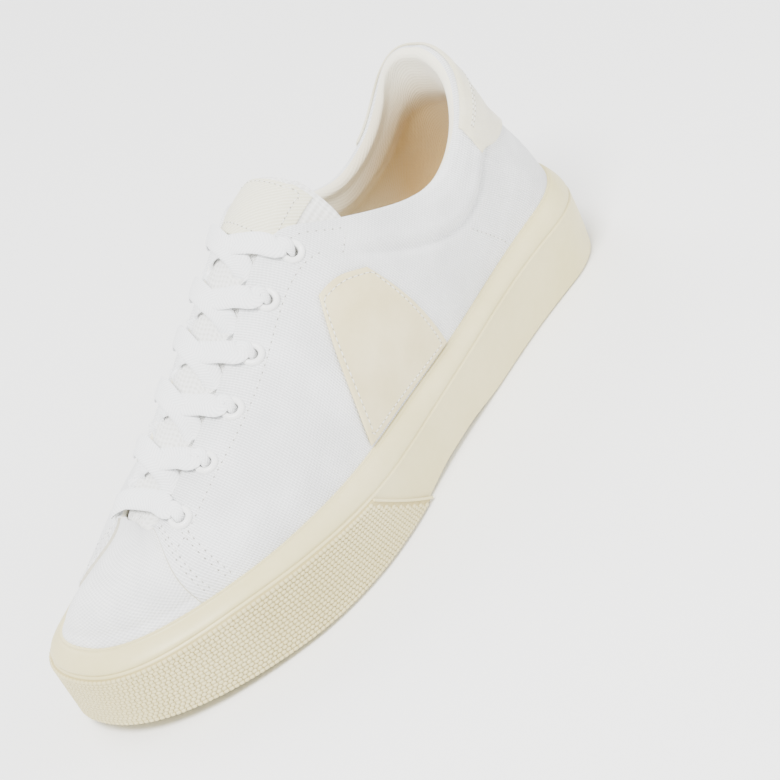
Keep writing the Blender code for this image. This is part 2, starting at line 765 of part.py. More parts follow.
def make_eyelet(name, side, s):
    """A plastic eyelet: flange on the canvas and a barrel through the wall."""
    place = eyelet_frame(side, s)
    barrel = EYELET_HOLE + EYELET_WALL
    profile = ((EYELET_HOLE, -WALL), (EYELET_HOLE, EYELET_HEIGHT), (0.75 * EYELET_RADIUS, EYELET_HEIGHT),
               (EYELET_RADIUS, EYELET_SEAT), (barrel, EYELET_SEAT), (barrel, -WALL))
    rows = [turned(*place, radius, height, EYELET_SIDES) for radius, height in profile]
    return hoop(name, rows, CANVAS, 0.4)


def pierce(body, places):
    """Cut the eyelets' holes through the upper."""
    points = []
    faces = []
    for side, s in places:
        place = eyelet_frame(side, s)
        radius = EYELET_HOLE + EYELET_WALL + GAP
        start = len(points)
        for height in (-2.0 * WALL, 2.0 * WALL):
            points.extend(turned(*place, radius, height, EYELET_SIDES))
        n = EYELET_SIDES
        faces.append(tuple(start + i for i in range(n)))
        faces.append(tuple(start + n + i for i in reversed(range(n))))
        for i in range(n):
            k = (i + 1) % n
            faces.append((start + k, start + i, start + n + i, start + n + k))
    cutter = make_object("hole_cutter", points, faces, CANVAS, 0.9)
    cutter.hide_render = True
    cutter.display_type = "WIRE"
    cut = body.modifiers.new("holes", "BOOLEAN")
    cut.operation = "DIFFERENCE"
    cut.object = cutter


def make_band(name, stops):
    """A flat lace along a smooth path through stops, each a point and a face direction."""
    knots = np.arange(len(stops), dtype=float)
    at = np.linspace(0.0, knots[-1], LACE_STATIONS)
    path = []
    face = []
    for axis in range(3):
        rows = {"share": knots,
                "place": np.array([stop[0][axis] for stop in stops]),
                "normal": np.array([stop[1][axis] for stop in stops])}
        path.append(smooth(rows, "place", at))
        face.append(smooth(rows, "normal", at))
    path = np.stack(path, axis=-1)
    face = np.stack(face, axis=-1)
    side = np.cross(face, np.gradient(path, axis=0))
    side *= 0.5 * LACE_WIDTH / np.linalg.norm(side, axis=-1)[:, None]
    face *= 0.5 * LACE_THICKNESS / np.linalg.norm(face, axis=-1)[:, None]
    corners = np.array([path + side + face, path - side + face, path - side - face, path + side - face])
    faces = ring_faces(LACE_STATIONS, 4, False)
    faces.append((0, 1, 2, 3))
    faces.append(tuple((LACE_STATIONS - 1) * 4 + i for i in (3, 2, 1, 0)))
    return make_object(name, corners.transpose(1, 0, 2).reshape(-1, 3), faces, CANVAS, 0.8)


def over_wall(side, s, distance):
    """A lace's middle where it lies on the quarter, a distance below the edge."""
    u = 0.5 * s if side < 0 else 1.0 - 0.5 * s
    v = down_the_wall(u, distance)
    return skin(u, v, LACE_LIFT + 0.5 * LACE_THICKNESS), skin_normal(np.array(u), np.array(v))


def make_lace_bar(s):
    """The straight bar over the lowest eyelets."""
    lift = LACE_LIFT + 0.5 * LACE_THICKNESS
    stops = [over_wall(-1, s, EYELET_INSET * share) for share in (1.0, 0.5, 0.0)]
    stops += [arch(s, t, lift) for t in (0.25, 0.5, 0.75)]
    stops += [over_wall(1, s, EYELET_INSET * share) for share in (0.0, 0.5, 1.0)]
    return make_band("lace_bar", stops)


def crossing_stops(side, upper_row, lower_row, lift):
    """A strand from an eyelet down across the throat to just short of the other edge."""
    middle = 0.5 * (upper_row + lower_row)
    ends = edge(np.array([0.5 * middle, 1.0 - 0.5 * middle]))
    width = float(np.linalg.norm(ends[1] - ends[0]))
    whole = width + 2.0 * EYELET_INSET

    def row(distance):
        return upper_row + (lower_row - upper_row) * (distance + EYELET_INSET) / whole

    stops = [over_wall(side, row(-EYELET_INSET * share), EYELET_INSET * share) for share in (1.0, 0.5, 0.0)]
    last = 1.0 - 0.62 * LACE_WIDTH / width
    resting = -WALL + 0.5 * LACE_THICKNESS + GAP
    for share, height in ((0.25, 0.5 * (lift + LACE_LIFT)), (0.5, lift), (last, resting)):
        across = share if side < 0 else 1.0 - share
        stops.append(arch(row(share * width), across, height))
    return stops


def make_lace_cross(name, upper_row, lower_row):
    """Two strands that cross over the tongue, joined where they touch."""
    high = LACE_THICKNESS - LACE_PRESS
    over = make_band(name, crossing_stops(1, upper_row, lower_row, high))
    under = make_band(name + "_under", crossing_stops(-1, upper_row, lower_row, 0.0))
    under.hide_render = True
    under.display_type = "WIRE"
    join = over.modifiers.new("joined", "BOOLEAN")
    join.operation = "UNION"
    join.object = under


make_cupsole()
make_outsole()
make_toe_bumper()
upper = make_upper()
make_insole()
make_tongue()
make_tongue_label()
make_heel_tab()
make_side_panel("side_panel_lateral", -1)
make_side_panel("side_panel_medial", 1)

rows = eyelet_places()
holes = []
for number, row in enumerate(rows, start=1):
    for side, word in ((-1, "lateral"), (1, "medial")):
        make_eyelet(f"eyelet_{word}_{number}", side, row)
        holes.append((side, row))
pierce(upper, holes)
make_lace_bar(rows[0])
for number in range(1, EYELET_ROWS):
    make_lace_cross(f"lace_cross_{number}", rows[number], rows[number - 1])
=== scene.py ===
"""The look of a flat-soled canvas sneaker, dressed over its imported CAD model."""
import math

import bmesh
import bpy
import numpy as np
from mathutils import Matrix, Vector


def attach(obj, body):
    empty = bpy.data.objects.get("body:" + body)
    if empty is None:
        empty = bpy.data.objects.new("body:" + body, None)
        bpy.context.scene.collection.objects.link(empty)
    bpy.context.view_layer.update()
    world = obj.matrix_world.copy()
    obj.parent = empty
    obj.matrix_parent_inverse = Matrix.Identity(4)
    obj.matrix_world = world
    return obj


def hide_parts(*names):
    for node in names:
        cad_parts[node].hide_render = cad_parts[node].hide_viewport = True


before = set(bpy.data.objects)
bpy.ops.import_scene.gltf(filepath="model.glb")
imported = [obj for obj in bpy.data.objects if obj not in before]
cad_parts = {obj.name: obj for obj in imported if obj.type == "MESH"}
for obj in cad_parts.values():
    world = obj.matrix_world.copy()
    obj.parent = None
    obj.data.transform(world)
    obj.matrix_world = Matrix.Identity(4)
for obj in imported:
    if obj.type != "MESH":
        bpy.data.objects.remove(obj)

# Sizes of the last
LENGTH = 0.293
BALL_WIDTH = 0.104
INSTEP_HEIGHT = 0.104
HEEL_HEIGHT = 0.1014

# Sizes of the sole
SIDEWALL_HEIGHT = 0.036
CREASE_HEIGHT = 0.0255
CREASE_DEPTH = 0.0006
SIDEWALL_LIP = 0.0038
SIDEWALL_TOP = 0.0018
SIDEWALL_DRAFT = 0.0008
FLOOR_HEIGHT = 0.019
TOE_SPRING = 0.0045
ARCH_RISE = 0.0016
SPRING_START_SHARE = 0.70
BOTTOM_ROUND = 0.0022
RIM_WIDTH = 0.0085
TREAD_DEPTH = 0.0030
BUMPER_THICKNESS = 0.0011
BUMPER_LOW_SHARE = 0.538
BUMPER_HIGH_SHARE = 0.600
HEEL_ROUND_SHARE = 0.132
HEEL_POWER = 2.3
TOE_ROUND_SHARE = 0.23
TOE_POWER = 2.2
TOE_SWING = 0.0036

# Sizes of the upper and what is on it
WALL = 0.0026
QUARTER_STEP = 0.0010
COLLAR_PAD_OUT = 0.0012
COLLAR_PAD_IN = 0.0030
INSOLE_THICKNESS = 0.0045
INSOLE_SLOPE_WIDTH = 0.010
INSOLE_DISH_SHARE = 0.75
TONGUE_THICKNESS = 0.0026
TONGUE_RISE = 0.023
TONGUE_FLAPS = (0.026, 0.016)
TONGUE_LEAN = 0.30
LEATHER = 0.0012
EYELET_RADIUS = 0.0045
EYELET_HOLE = 0.0021
EYELET_INSET = 0.0085
EYELET_ROWS = 6
FIRST_EYELET_DISTANCE = 0.0075
LAST_EYELET_DISTANCE = 0.001
LACE_WIDTH = 0.0084
LACE_THICKNESS = 0.0014
LACE_LIFT = 0.0015
LACE_PRESS = 0.0002
GAP = 0.0003
COLLAR_FOLD = 0.8
ARCH_FULLNESS = 0.36


def table(columns, *rows):
    """Rows of a table as one array for each named column."""
    return dict(zip(columns.split(), np.array(rows, dtype=float).T))


# Half widths of the sole's outline as shares of the ball width, by share of the length
OUTLINE = table("share lateral medial",
                (0.00, 0.372, 0.372),
                (0.10, 0.371, 0.372),
                (0.22, 0.378, 0.365),
                (0.36, 0.418, 0.346),
                (0.50, 0.470, 0.356),
                (0.62, 0.528, 0.398),
                (0.70, 0.541, 0.414),
                (0.78, 0.516, 0.394),
                (0.86, 0.468, 0.354),
                (0.93, 0.435, 0.365),
                (1.00, 0.410, 0.460))

# Heights of the sidewall's top edge, its crease and the foot bed, and how far the top edge
# leans in, as shares of their sizes
PROFILE = table("share top crease floor lip",
                (0.00, 1.000, 0.980, 1.00, 1.00),
                (0.15, 0.930, 1.000, 0.98, 1.00),
                (0.35, 0.840, 0.925, 0.88, 1.00),
                (0.55, 0.890, 0.905, 0.72, 1.00),
                (0.72, 0.985, 1.080, 0.62, 1.00),
                (0.86, 0.985, 1.180, 0.66, 1.25),
                (1.00, 0.950, 1.080, 0.76, 1.55))

# The opening's edge from heel to toe: station as a share of the length, distance from the
# centre line as a share of the ball width, height as a share of the height of heel or instep
EDGE_LATERAL = table("share station out height",
                     (0.00, 0.078, 0.000, 1.000),
                     (0.10, 0.090, 0.135, 0.979),
                     (0.15, 0.109, 0.216, 0.923),
                     (0.20, 0.146, 0.274, 0.839),
                     (0.25, 0.188, 0.303, 0.766),
                     (0.30, 0.239, 0.322, 0.725),
                     (0.35, 0.297, 0.336, 0.751),
                     (0.40, 0.362, 0.327, 0.834),
                     (0.44, 0.414, 0.300, 0.912),
                     (0.475, 0.454, 0.258, 0.972),
                     (0.500, 0.479, 0.212, 1.004),
                     (0.520, 0.501, 0.181, 1.000),
                     (0.62, 0.634, 0.168, 0.808),
                     (0.72, 0.758, 0.160, 0.655),
                     (0.80, 0.838, 0.145, 0.565),
                     (0.88, 0.850, 0.090, 0.585),
                     (1.00, 0.850, 0.040, 0.595))
EDGE_MEDIAL = table("share station out height",
                    (0.00, 0.078, 0.000, 1.000),
                    (0.10, 0.090, 0.126, 0.972),
                    (0.15, 0.109, 0.194, 0.890),
                    (0.20, 0.143, 0.236, 0.780),
                    (0.25, 0.183, 0.268, 0.708),
                    (0.30, 0.233, 0.292, 0.685),
                    (0.35, 0.287, 0.308, 0.731),
                    (0.40, 0.342, 0.285, 0.820),
                    (0.44, 0.384, 0.240, 0.925),
                    (0.475, 0.424, 0.180, 0.995),
                    (0.500, 0.454, 0.138, 1.018),
                    (0.520, 0.483, 0.114, 1.002),
                    (0.62, 0.619, 0.080, 0.832),
                    (0.72, 0.748, 0.058, 0.680),
                    (0.80, 0.834, 0.046, 0.578),
                    (0.88, 0.850, 0.005, 0.592),
                    (1.00, 0.850, -0.040, 0.595))

# How the wall leaves the sidewall and reaches the edge, as shares of the span between them
BELLY_LATERAL = table("share out_low up_low out_high down_high",
                      (0.00, -0.03, 0.30, 0.00, 0.36),
                      (0.20, 0.02, 0.32, 0.02, 0.36),
                      (0.35, 0.10, 0.34, 0.10, 0.36),
                      (0.50, 0.04, 0.36, 0.24, 0.26),
                      (0.65, 0.03, 0.36, 0.34, 0.16),
                      (0.80, 0.03, 0.38, 0.38, 0.10),
                      (1.00, 0.02, 0.42, 0.40, 0.10))
BELLY_MEDIAL = table("share out_low up_low out_high down_high",
                     (0.00, -0.03, 0.30, 0.00, 0.36),
                     (0.20, 0.02, 0.32, 0.02, 0.36),
                     (0.35, 0.04, 0.34, 0.06, 0.36),
                     (0.50, 0.00, 0.34, 0.16, 0.30),
                     (0.65, 0.00, 0.30, 0.17, 0.30),
                     (0.80, -0.02, 0.24, 0.19, 0.31),
                     (0.92, -0.02, 0.30, 0.27, 0.22),
                     (1.00, 0.02, 0.42, 0.40, 0.10))

# The vamp's seam under the quarters: place along the half outline, by height on the wall
SEAM = table("height lateral medial",
             (0.00, 0.791, 0.791),
             (0.30, 0.804, 0.803),
             (0.65, 0.815, 0.814),
             (1.00, 0.820, 0.820))

# The heel tab's lower edge on the wall, by place along the half outline
HEEL_TAB = table("share low",
                 (0.00, 0.42),
                 (0.10, 0.46),
                 (0.16, 0.56),
                 (0.205, 0.69),
                 (0.232, 0.79))

# The side panel's front and rear edge along the half outline, by height on the wall
SIDE_PANEL = table("height front rear",
                   (0.02, 0.560, 0.425),
                   (0.30, 0.556, 0.438),
                   (0.55, 0.545, 0.455),
                   (0.68, 0.532, 0.468))


def unit(arrows):
    """Arrows brought to length 1."""
    return arrows / np.linalg.norm(arrows, axis=-1)[..., None]


def run_along(points):
    """Metres along a path to each of its points."""
    return np.concatenate([[0.0], np.cumsum(np.linalg.norm(np.diff(points, axis=0), axis=1))])


def smooth(tab, column, at, key="share", flat=False):
    """A column's value at places of the key, on a cubic spline through the rows."""
    knots = tab[key]
    values = tab[column]
    n = len(knots)
    h = np.diff(knots)
    slope = np.diff(values) / h
    matrix = np.eye(n) * 2.0
    right = np.zeros(n)
    for i in range(1, n - 1):
        matrix[i, i - 1:i + 2] = h[i - 1], 2.0 * (h[i - 1] + h[i]), h[i]
        right[i] = 6.0 * (slope[i] - slope[i - 1])
    if flat:
        matrix[0, :2] = 2.0 * h[0], h[0]
        right[0] = 6.0 * slope[0]
        matrix[-1, -2:] = h[-1], 2.0 * h[-1]
        right[-1] = -6.0 * slope[-1]
    bend = np.linalg.solve(matrix, right)
    at = np.clip(at, knots[0], knots[-1])
    i = np.clip(np.searchsorted(knots, at, side="right") - 1, 0, n - 2)
    t = (at - knots[i]) / h[i]
    s = 1.0 - t
    curve = (s ** 3 - s) * bend[i] + (t ** 3 - t) * bend[i + 1]
    return s * values[i] + t * values[i + 1] + curve * h[i] ** 2 / 6.0


def ramp(at, start, end):
    """0 before start, 1 after end, with a soft passage between."""
    t = np.clip((at - start) / (end - start), 0.0, 1.0)
    return t * t * (3.0 - 2.0 * t)


def halves(u):
    """Place along the half outline (0 heel, 1 toe) and side (-1 lateral, 1 medial)."""
    u = np.mod(u, 1.0)
    return np.where(u <= 0.5, 2.0 * u, 2.0 - 2.0 * u), np.where(u <= 0.5, -1.0, 1.0)


def round_foot(side, s):
    """Place round the foot of a place along one side's half outline."""
    return 0.5 * s if side < 0 else 1.0 - 0.5 * s


def by_side(side, lateral, medial):
    """The lateral value where the side is lateral, and the medial one elsewhere."""
    return np.where(side < 0.0, lateral, medial)


def rounded_end(share, power):
    """How the outline's width closes at an end, by share of the end's length."""
    return (1.0 - (1.0 - np.clip(share, 0.0, 1.0)) ** power) ** (1.0 / power)


def share_of_length(u):
    """How far along the length a place of the outline lies, 0 at the heel."""
    return 0.5 - 0.5 * np.cos(np.pi * halves(u)[0])


def raw_outline(u):
    """Points of the sole's outline before it is put on the middle line."""
    side = halves(u)[1]
    share = share_of_length(u)
    width = by_side(side, smooth(OUTLINE, "lateral", share), smooth(OUTLINE, "medial", share))
    heel = rounded_end(share / HEEL_ROUND_SHARE, HEEL_POWER)
    toe = rounded_end((1.0 - share) / TOE_ROUND_SHARE, TOE_POWER)
    swing = TOE_SWING * np.clip((share - 0.6) / 0.4, 0.0, 1.0) ** 2
    return LENGTH * (0.5 - share), side * width * BALL_WIDTH * heel * toe + swing


# The outline's own middle across, which the part stands on
REACH = raw_outline(np.linspace(0.0, 1.0, 721))[1]
CENTRE_Y = (REACH.max() + REACH.min()) / 2.0


def outline(u, inset=0.0):
    """Points of the sole's outline seen from above, moved in by an inset."""
    step = 1e-4
    x, y = raw_outline(u)
    ahead = raw_outline(u + step)
    behind = raw_outline(u - step)
    dx = ahead[0] - behind[0]
    dy = ahead[1] - behind[1]
    size = np.hypot(dx, dy)
    return x + inset * dy / size, y - CENTRE_Y - inset * dx / size


def outward(u):
    """Level unit vector that points out of the outline."""
    x0, y0 = outline(u)
    x1, y1 = outline(u, -1.0)
    return np.stack([x1 - x0, y1 - y0, np.zeros_like(x0)], axis=-1)


def ground(share):
    """Height of the sole's underside: flat heel and ball, raised arch and toe."""
    spring = TOE_SPRING * np.clip((share - SPRING_START_SHARE) / (1.0 - SPRING_START_SHARE), 0.0, 1.0) ** 2
    arch = ARCH_RISE * ramp(share, 0.33, 0.43) * (1.0 - ramp(share, 0.48, 0.58))
    return spring + arch


def top_height(share):
    """Height of the sidewall's top edge."""
    return SIDEWALL_HEIGHT * smooth(PROFILE, "top", share)


def crease_height(share):
    """Height of the sidewall's crease."""
    return CREASE_HEIGHT * smooth(PROFILE, "crease", share)


def floor_height(share):
    """Height of the foot bed in the cup."""
    return FLOOR_HEIGHT * smooth(PROFILE, "floor", share)


def lip(share):
    """How far the sidewall's top edge leans in."""
    return SIDEWALL_LIP * smooth(PROFILE, "lip", share)


def cup_wall(u):
    """Thickness of the cup's side, from the outline in to the upper."""
    return lip(share_of_length(u)) + SIDEWALL_TOP


def ring(u, inset, height):
    """Points of the outline moved in by an inset, at a height."""
    x, y = outline(u, inset)
    return np.stack([x, y, np.broadcast_to(height, x.shape)], axis=-1)


def foot(u):
    """Where the upper leaves the cup: the outer skin at the sidewall's top edge."""
    return ring(u, cup_wall(u) + GAP, top_height(share_of_length(u)))


def edge(u):
    """The opening's edge: collar, top corners and throat."""
    s, side = halves(u)
    place = []
    for column, flat in (("station", True), ("out", False), ("height", True)):
        lateral = smooth(EDGE_LATERAL, column, s, flat=flat)
        medial = smooth(EDGE_MEDIAL, column, s, flat=flat)
        place.append(by_side(side, lateral, medial))
    x = LENGTH * (0.5 - place[0])
    y = side * place[1] * BALL_WIDTH - CENTRE_Y
    height = HEEL_HEIGHT + (INSTEP_HEIGHT - HEEL_HEIGHT) * ramp(s, 0.15, 0.45)
    return np.stack([x, y, place[2] * height], axis=-1)


def handles(u):
    """Control points of the wall's section at a place of the outline."""
    s, side = halves(u)
    low = foot(u)
    high = edge(u)
    span = np.linalg.norm(high - low, axis=-1)[..., None]
    out = outward(u)
    up = np.array([0.0, 0.0, 1.0])

    def share(column):
        lateral = smooth(BELLY_LATERAL, column, s, flat=True)
        medial = smooth(BELLY_MEDIAL, column, s, flat=True)
        return by_side(side, lateral, medial)[..., None]

    near_low = low + span * (share("out_low") * out + share("up_low") * up)
    near_high = high + span * (share("out_high") * out - share("down_high") * up)
    return low, near_low, near_high, high


def collar_padding(u, v):
    """How far the collar's padding has swollen, 0 to 1."""
    s = halves(u)[0]
    return ramp(v, 0.60, 0.80) * (1.0 - ramp(s, 0.34, 0.45))


def bare_skin(u, v):
    """The wall's outer face without padding, at u round the foot and v up the wall."""
    low, near_low, near_high, high = handles(u)
    v = np.asarray(v)[..., None]
    w = 1.0 - v
    return w ** 3 * low + 3.0 * w * w * v * near_low + 3.0 * w * v * v * near_high + v ** 3 * high


def skin_normal(u, v):
    """Direction out of the wall."""
    step = 1e-4
    v = np.clip(v, 0.002, 0.998)
    along = bare_skin(u + step, v) - bare_skin(u - step, v)
    rise = bare_skin(u, v + step) - bare_skin(u, v - step)
    return unit(np.cross(rise, along))


def skin(u, v, out=0.0):
    """The quarters' outer face at u round the foot and v up the wall, moved out."""
    u, v = np.broadcast_arrays(np.asarray(u, dtype=float), np.asarray(v, dtype=float))
    lift = out + COLLAR_PAD_OUT * collar_padding(u, v) * ramp(1.02 - v, 0.0, 0.10)
    return bare_skin(u, v) + skin_normal(u, v) * np.asarray(lift)[..., None]


def roll(outer, inner, rise, angle, out=0.0):
    """The rounded edge over the wall between its faces, 0 degrees outside to 180 inside."""
    reach = (outer - inner) / 2.0
    half = np.linalg.norm(reach, axis=-1)[:, None]
    turn = math.radians(angle)
    lean = reach * math.cos(turn) + rise * half * COLLAR_FOLD * math.sin(turn)
    return (outer + inner) / 2.0 + lean * (1.0 + out / half)


def rising(u):
    """Direction of the wall's face at the opening's edge."""
    return unit(bare_skin(u, 1.0) - bare_skin(u, 0.98))


def inner_skin(u, v):
    """The lining's face, padded at the collar."""
    return skin(u, v, -WALL - (COLLAR_PAD_IN + COLLAR_PAD_OUT) * collar_padding(u, v))


def arch(s, t, out=0.0):
    """The throat bridged from lateral edge (t 0) to medial edge (t 1), moved out."""
    s, t = np.broadcast_arrays(np.asarray(s, dtype=float), np.asarray(t, dtype=float))

    def bridge(s, t):
        near_l, high_l = handles(0.5 * s)[2:]
        near_m, high_m = handles(1.0 - 0.5 * s)[2:]
        reach = ARCH_FULLNESS * np.linalg.norm(high_m - high_l, axis=-1)[..., None]
        control_l = high_l + reach * unit(high_l - near_l)
        control_m = high_m + reach * unit(high_m - near_m)
        t = t[..., None]
        w = 1.0 - t
        return w ** 3 * high_l + 3 * w * w * t * control_l + 3 * w * t * t * control_m + t ** 3 * high_m

    step = 1e-3
    across = bridge(s, np.minimum(t + step, 1.0)) - bridge(s, np.maximum(t - step, 0.0))
    along = bridge(s + step, t) - bridge(s - step, t)
    normal = unit(np.cross(across, along))
    return bridge(s, t) + normal * np.asarray(out)[..., None], normal


def down_the_wall(u, distance):
    """The height v on the wall that lies a distance below the opening's edge."""
    v = np.linspace(1.0, 0.0, 60)
    run = run_along(bare_skin(np.full(60, u), v))
    return float(np.interp(distance, run, v))


# The throat's ends along the half outline, and the tongue in it
THROAT_TOP = 0.520
THROAT_FRONT = 0.80
TONGUE_PLACES = np.linspace(0.0, 1.0, 9)
TONGUE_ROWS = 8
TONGUE_TOP_ROWS = 5
TONGUE_FRONT_FLAP = 0.0055
TONGUE_EASE = 0.0004
TONGUE_FRONT_EASE = 0.0014
TONGUE_UNDERLAP = 0.006
TONGUE_ROUND = 0.10


def under_wall(u, flap, depth, start=0.0):
    """Points of a tongue's flap under a quarter, the one nearest the throat first."""
    return [skin(u, down_the_wall(u, start + flap * share), -depth) for share in (0.5, 1.0)]


def tongue_section(s, flaps, depth, tuck=0.0):
    """Points across the tongue at a place of the throat: lateral flap, arch, medial flap."""
    lateral = under_wall(0.5 * s, flaps[0], depth + tuck)
    middle = [arch(s, t, -depth)[0] for t in TONGUE_PLACES]
    medial = under_wall(1.0 - 0.5 * s, flaps[1], depth + tuck)
    return np.array(lateral[::-1] + middle + medial)


def tongue_front(flap, depth, under):
    """The tongue at a distance under the vamp's edge."""
    u = 0.5 * THROAT_FRONT + (1.0 - THROAT_FRONT) * TONGUE_PLACES
    middle = [skin(place, down_the_wall(place, under), -depth) for place in u]
    lateral = under_wall(u[0], flap, depth, under)
    return np.array(lateral[::-1] + middle + under_wall(u[-1], flap, depth, under))


def tongue_face(depth):
    """One face of the tongue: under the vamp, along the throat and up over the instep."""
    narrow = TONGUE_FRONT_FLAP
    room = LEATHER + 3.0 * GAP

    def tuck(k):
        return TONGUE_EASE + room * ramp(k, -1.5, 3.0)

    rows = [tongue_front(narrow, depth + TONGUE_FRONT_EASE, TONGUE_UNDERLAP),
            tongue_front(narrow, depth + TONGUE_FRONT_EASE, 0.0)]
    first = THROAT_FRONT - 0.125 * (THROAT_FRONT - THROAT_TOP)
    for k, s in zip(range(1 - TONGUE_ROWS, 1), np.linspace(first, THROAT_TOP, TONGUE_ROWS)):
        flaps = [flap + (flap - narrow) * k / (TONGUE_ROWS - 1) for flap in TONGUE_FLAPS]
        rows.append(tongue_section(s, flaps, depth, tuck(k)))
    middle = rows[-1].shape[0] // 2
    run = rows[-1][middle] - rows[-3][middle]
    slope = math.atan2(run[2], run[0])
    drift = run[1] / np.linalg.norm(run)
    place = np.linspace(-1.0, 1.0, rows[-1].shape[0])[:, None]
    shift = np.zeros(3)
    for k in range(1, TONGUE_TOP_ROWS + 1):
        share = k / TONGUE_TOP_ROWS
        heading = slope * (1.0 - 0.8 * share)
        shift = shift + np.array([math.cos(heading), drift, math.sin(heading)])
        row = tongue_section(THROAT_TOP, TONGUE_FLAPS, depth, tuck(k))
        slanted = 1.0 - share * (TONGUE_LEAN * place + TONGUE_ROUND * np.abs(place) ** 3)
        rows.append(row + shift * TONGUE_RISE / TONGUE_TOP_ROWS * slanted)
    return np.array(rows)


def eyelet_places():
    """Places of the rows along the throat, the lowest first, equally far apart."""
    s = np.linspace(THROAT_FRONT, THROAT_TOP, 60)
    run = run_along(edge(0.5 * s))
    rows = np.linspace(FIRST_EYELET_DISTANCE, run[-1] + LAST_EYELET_DISTANCE, EYELET_ROWS)
    return np.interp(rows, run, s) - np.maximum(rows - run[-1], 0.0) / (run[-1] / (s[0] - s[-1]))


def eyelet_spot(side, s):
    """An eyelet's place round the foot and up the wall."""
    u = round_foot(side, s)
    return u, down_the_wall(u, EYELET_INSET)


def eyelet_frame(side, s):
    """Centre on the wall's face and two directions in it, with the normal."""
    u, v = eyelet_spot(side, s)
    normal = skin_normal(np.array(u), np.array(v))
    first = unit(np.cross(normal, [0.0, 0.0, 1.0]))
    return skin(u, v), first, np.cross(normal, first), normal


def turned(centre, first, second, axis, radius, height, sides):
    """Points of a circle about an axis, moved along it."""
    angle = 2.0 * np.pi * np.arange(sides)[:, None] / sides
    return centre + radius * (np.cos(angle) * first + np.sin(angle) * second) + height * axis


def over_wall(side, s, distance):
    """A lace's middle where it lies on the quarter, a distance below the edge."""
    u = round_foot(side, s)
    v = down_the_wall(u, distance)
    return skin(u, v, LACE_LIFT + 0.5 * LACE_THICKNESS), skin_normal(np.array(u), np.array(v))


def crossing_stops(side, upper_row, lower_row, lift):
    """A strand from an eyelet down across the throat to just short of the other edge."""
    middle = 0.5 * (upper_row + lower_row)
    ends = edge(np.array([0.5 * middle, 1.0 - 0.5 * middle]))
    width = float(np.linalg.norm(ends[1] - ends[0]))
    whole = width + 2.0 * EYELET_INSET

    def row(distance):
        return upper_row + (lower_row - upper_row) * (distance + EYELET_INSET) / whole

    stops = [over_wall(side, row(-EYELET_INSET * share), EYELET_INSET * share) for share in (1.0, 0.5, 0.0)]
    last = 1.0 - 0.62 * LACE_WIDTH / width
    resting = -WALL + 0.5 * LACE_THICKNESS + GAP
    for share, height in ((0.25, 0.5 * (lift + LACE_LIFT)), (0.5, lift), (last, resting)):
        across = share if side < 0 else 1.0 - share
        stops.append(arch(row(share * width), across, height))
    return stops


# Sizes that only the scene shows, in metres: lace, thread and needle holes
LACE_STEP = 0.0008
STITCH_PITCH = 0.0030
TAPE_STITCH_PITCH = 0.0024
PANEL_STITCH_PITCH = 0.0026
STITCH_LENGTH = 0.0023
THREAD = 0.00042
NEEDLE_HOLE = 0.0008
NEEDLE_HOLE_DEPTH = 0.00025

# Rows of stitching: behind the quarter's front edge, outside the eyelets, along the throat's top
# corner, and in from the label's and the panel's border
FRONT_ROWS = (0.0040, 0.0060, 0.0125, 0.0145)
THROAT_ROW = 0.0145
CORNER_ROW = 0.0042
LABEL_ROW = 0.0018
PANEL_ROW = 0.0010

# How thick the label's tape is, how far each sheet's back lies over what carries it, and how wide
# its border is rounded
LABEL_TAPE_THICKNESS = 0.0007
LABEL_SEAT = GAP + 0.0003
SUEDE_SEAT = 0.0001
PANEL_SEAT = 0.0003
BAND_ROUNDING = 0.0007
LABEL_ROUNDING = 0.0005
TONGUE_ROUNDING = 0.0014
SUEDE_ROUNDING = 0.0009
PANEL_ROUNDING = 0.0008
FOOTBED_ROUNDING = 0.0012

# The sidewall: its rim's bevel, its top edge's rounding and how far its face is hollow
RIM_BEVEL = 0.0005
TOP_ROUNDING = 0.0009
SIDEWALL_HOLLOW = 0.0003

# The toe band's studs, and how deep band and studs are let in
STUD_PITCH = 0.0020
STUD_ROW_PITCH = 0.0015
STUD_HEIGHT = 0.0006
STUD_SINK = 0.0001
BAND_MIDDLE = 0.0003
BAND_LOW = 0.0004
BAND_CORD = 0.0011

# The tread's tumbling blocks: pitch, grooves of three widths, bevel across and up
CUBE_PITCH = 0.0110
GROOVE_DEPTH = 0.0011
FINE_GROOVE = 0.00022
MIDDLE_GROOVE = 0.00045
WIDE_GROOVE = 0.00075
BLOCK_BEVEL = 0.00025
BLOCK_BEVEL_HEIGHT = 0.00028
BLOCK_SINK = 0.0002
SMALLEST_BLOCK = 3e-6

# An eyelet's barrel and flange, and the passage that is cut for it
BARREL_WALL = 0.0003
HOLE_PLAY = 0.0002
FLANGE_HEIGHT = 0.0013
FLANGE_SEAT = 0.0002
FLANGE_SINK = 0.0001


def linear(colour):
    """An sRGB hex colour as linear red, green, blue and alpha."""
    parts = [int(colour[i:i + 2], 16) / 255.0 for i in (0, 2, 4)]
    return tuple(c / 12.92 if c <= 0.04045 else ((c + 0.055) / 1.055) ** 2.4 for c in parts) + (1.0,)


# ---- meshes ----

def put_in(name, data):
    """A new object with its data, put in the scene."""
    item = bpy.data.objects.new(name, data)
    bpy.context.collection.objects.link(item)
    return item


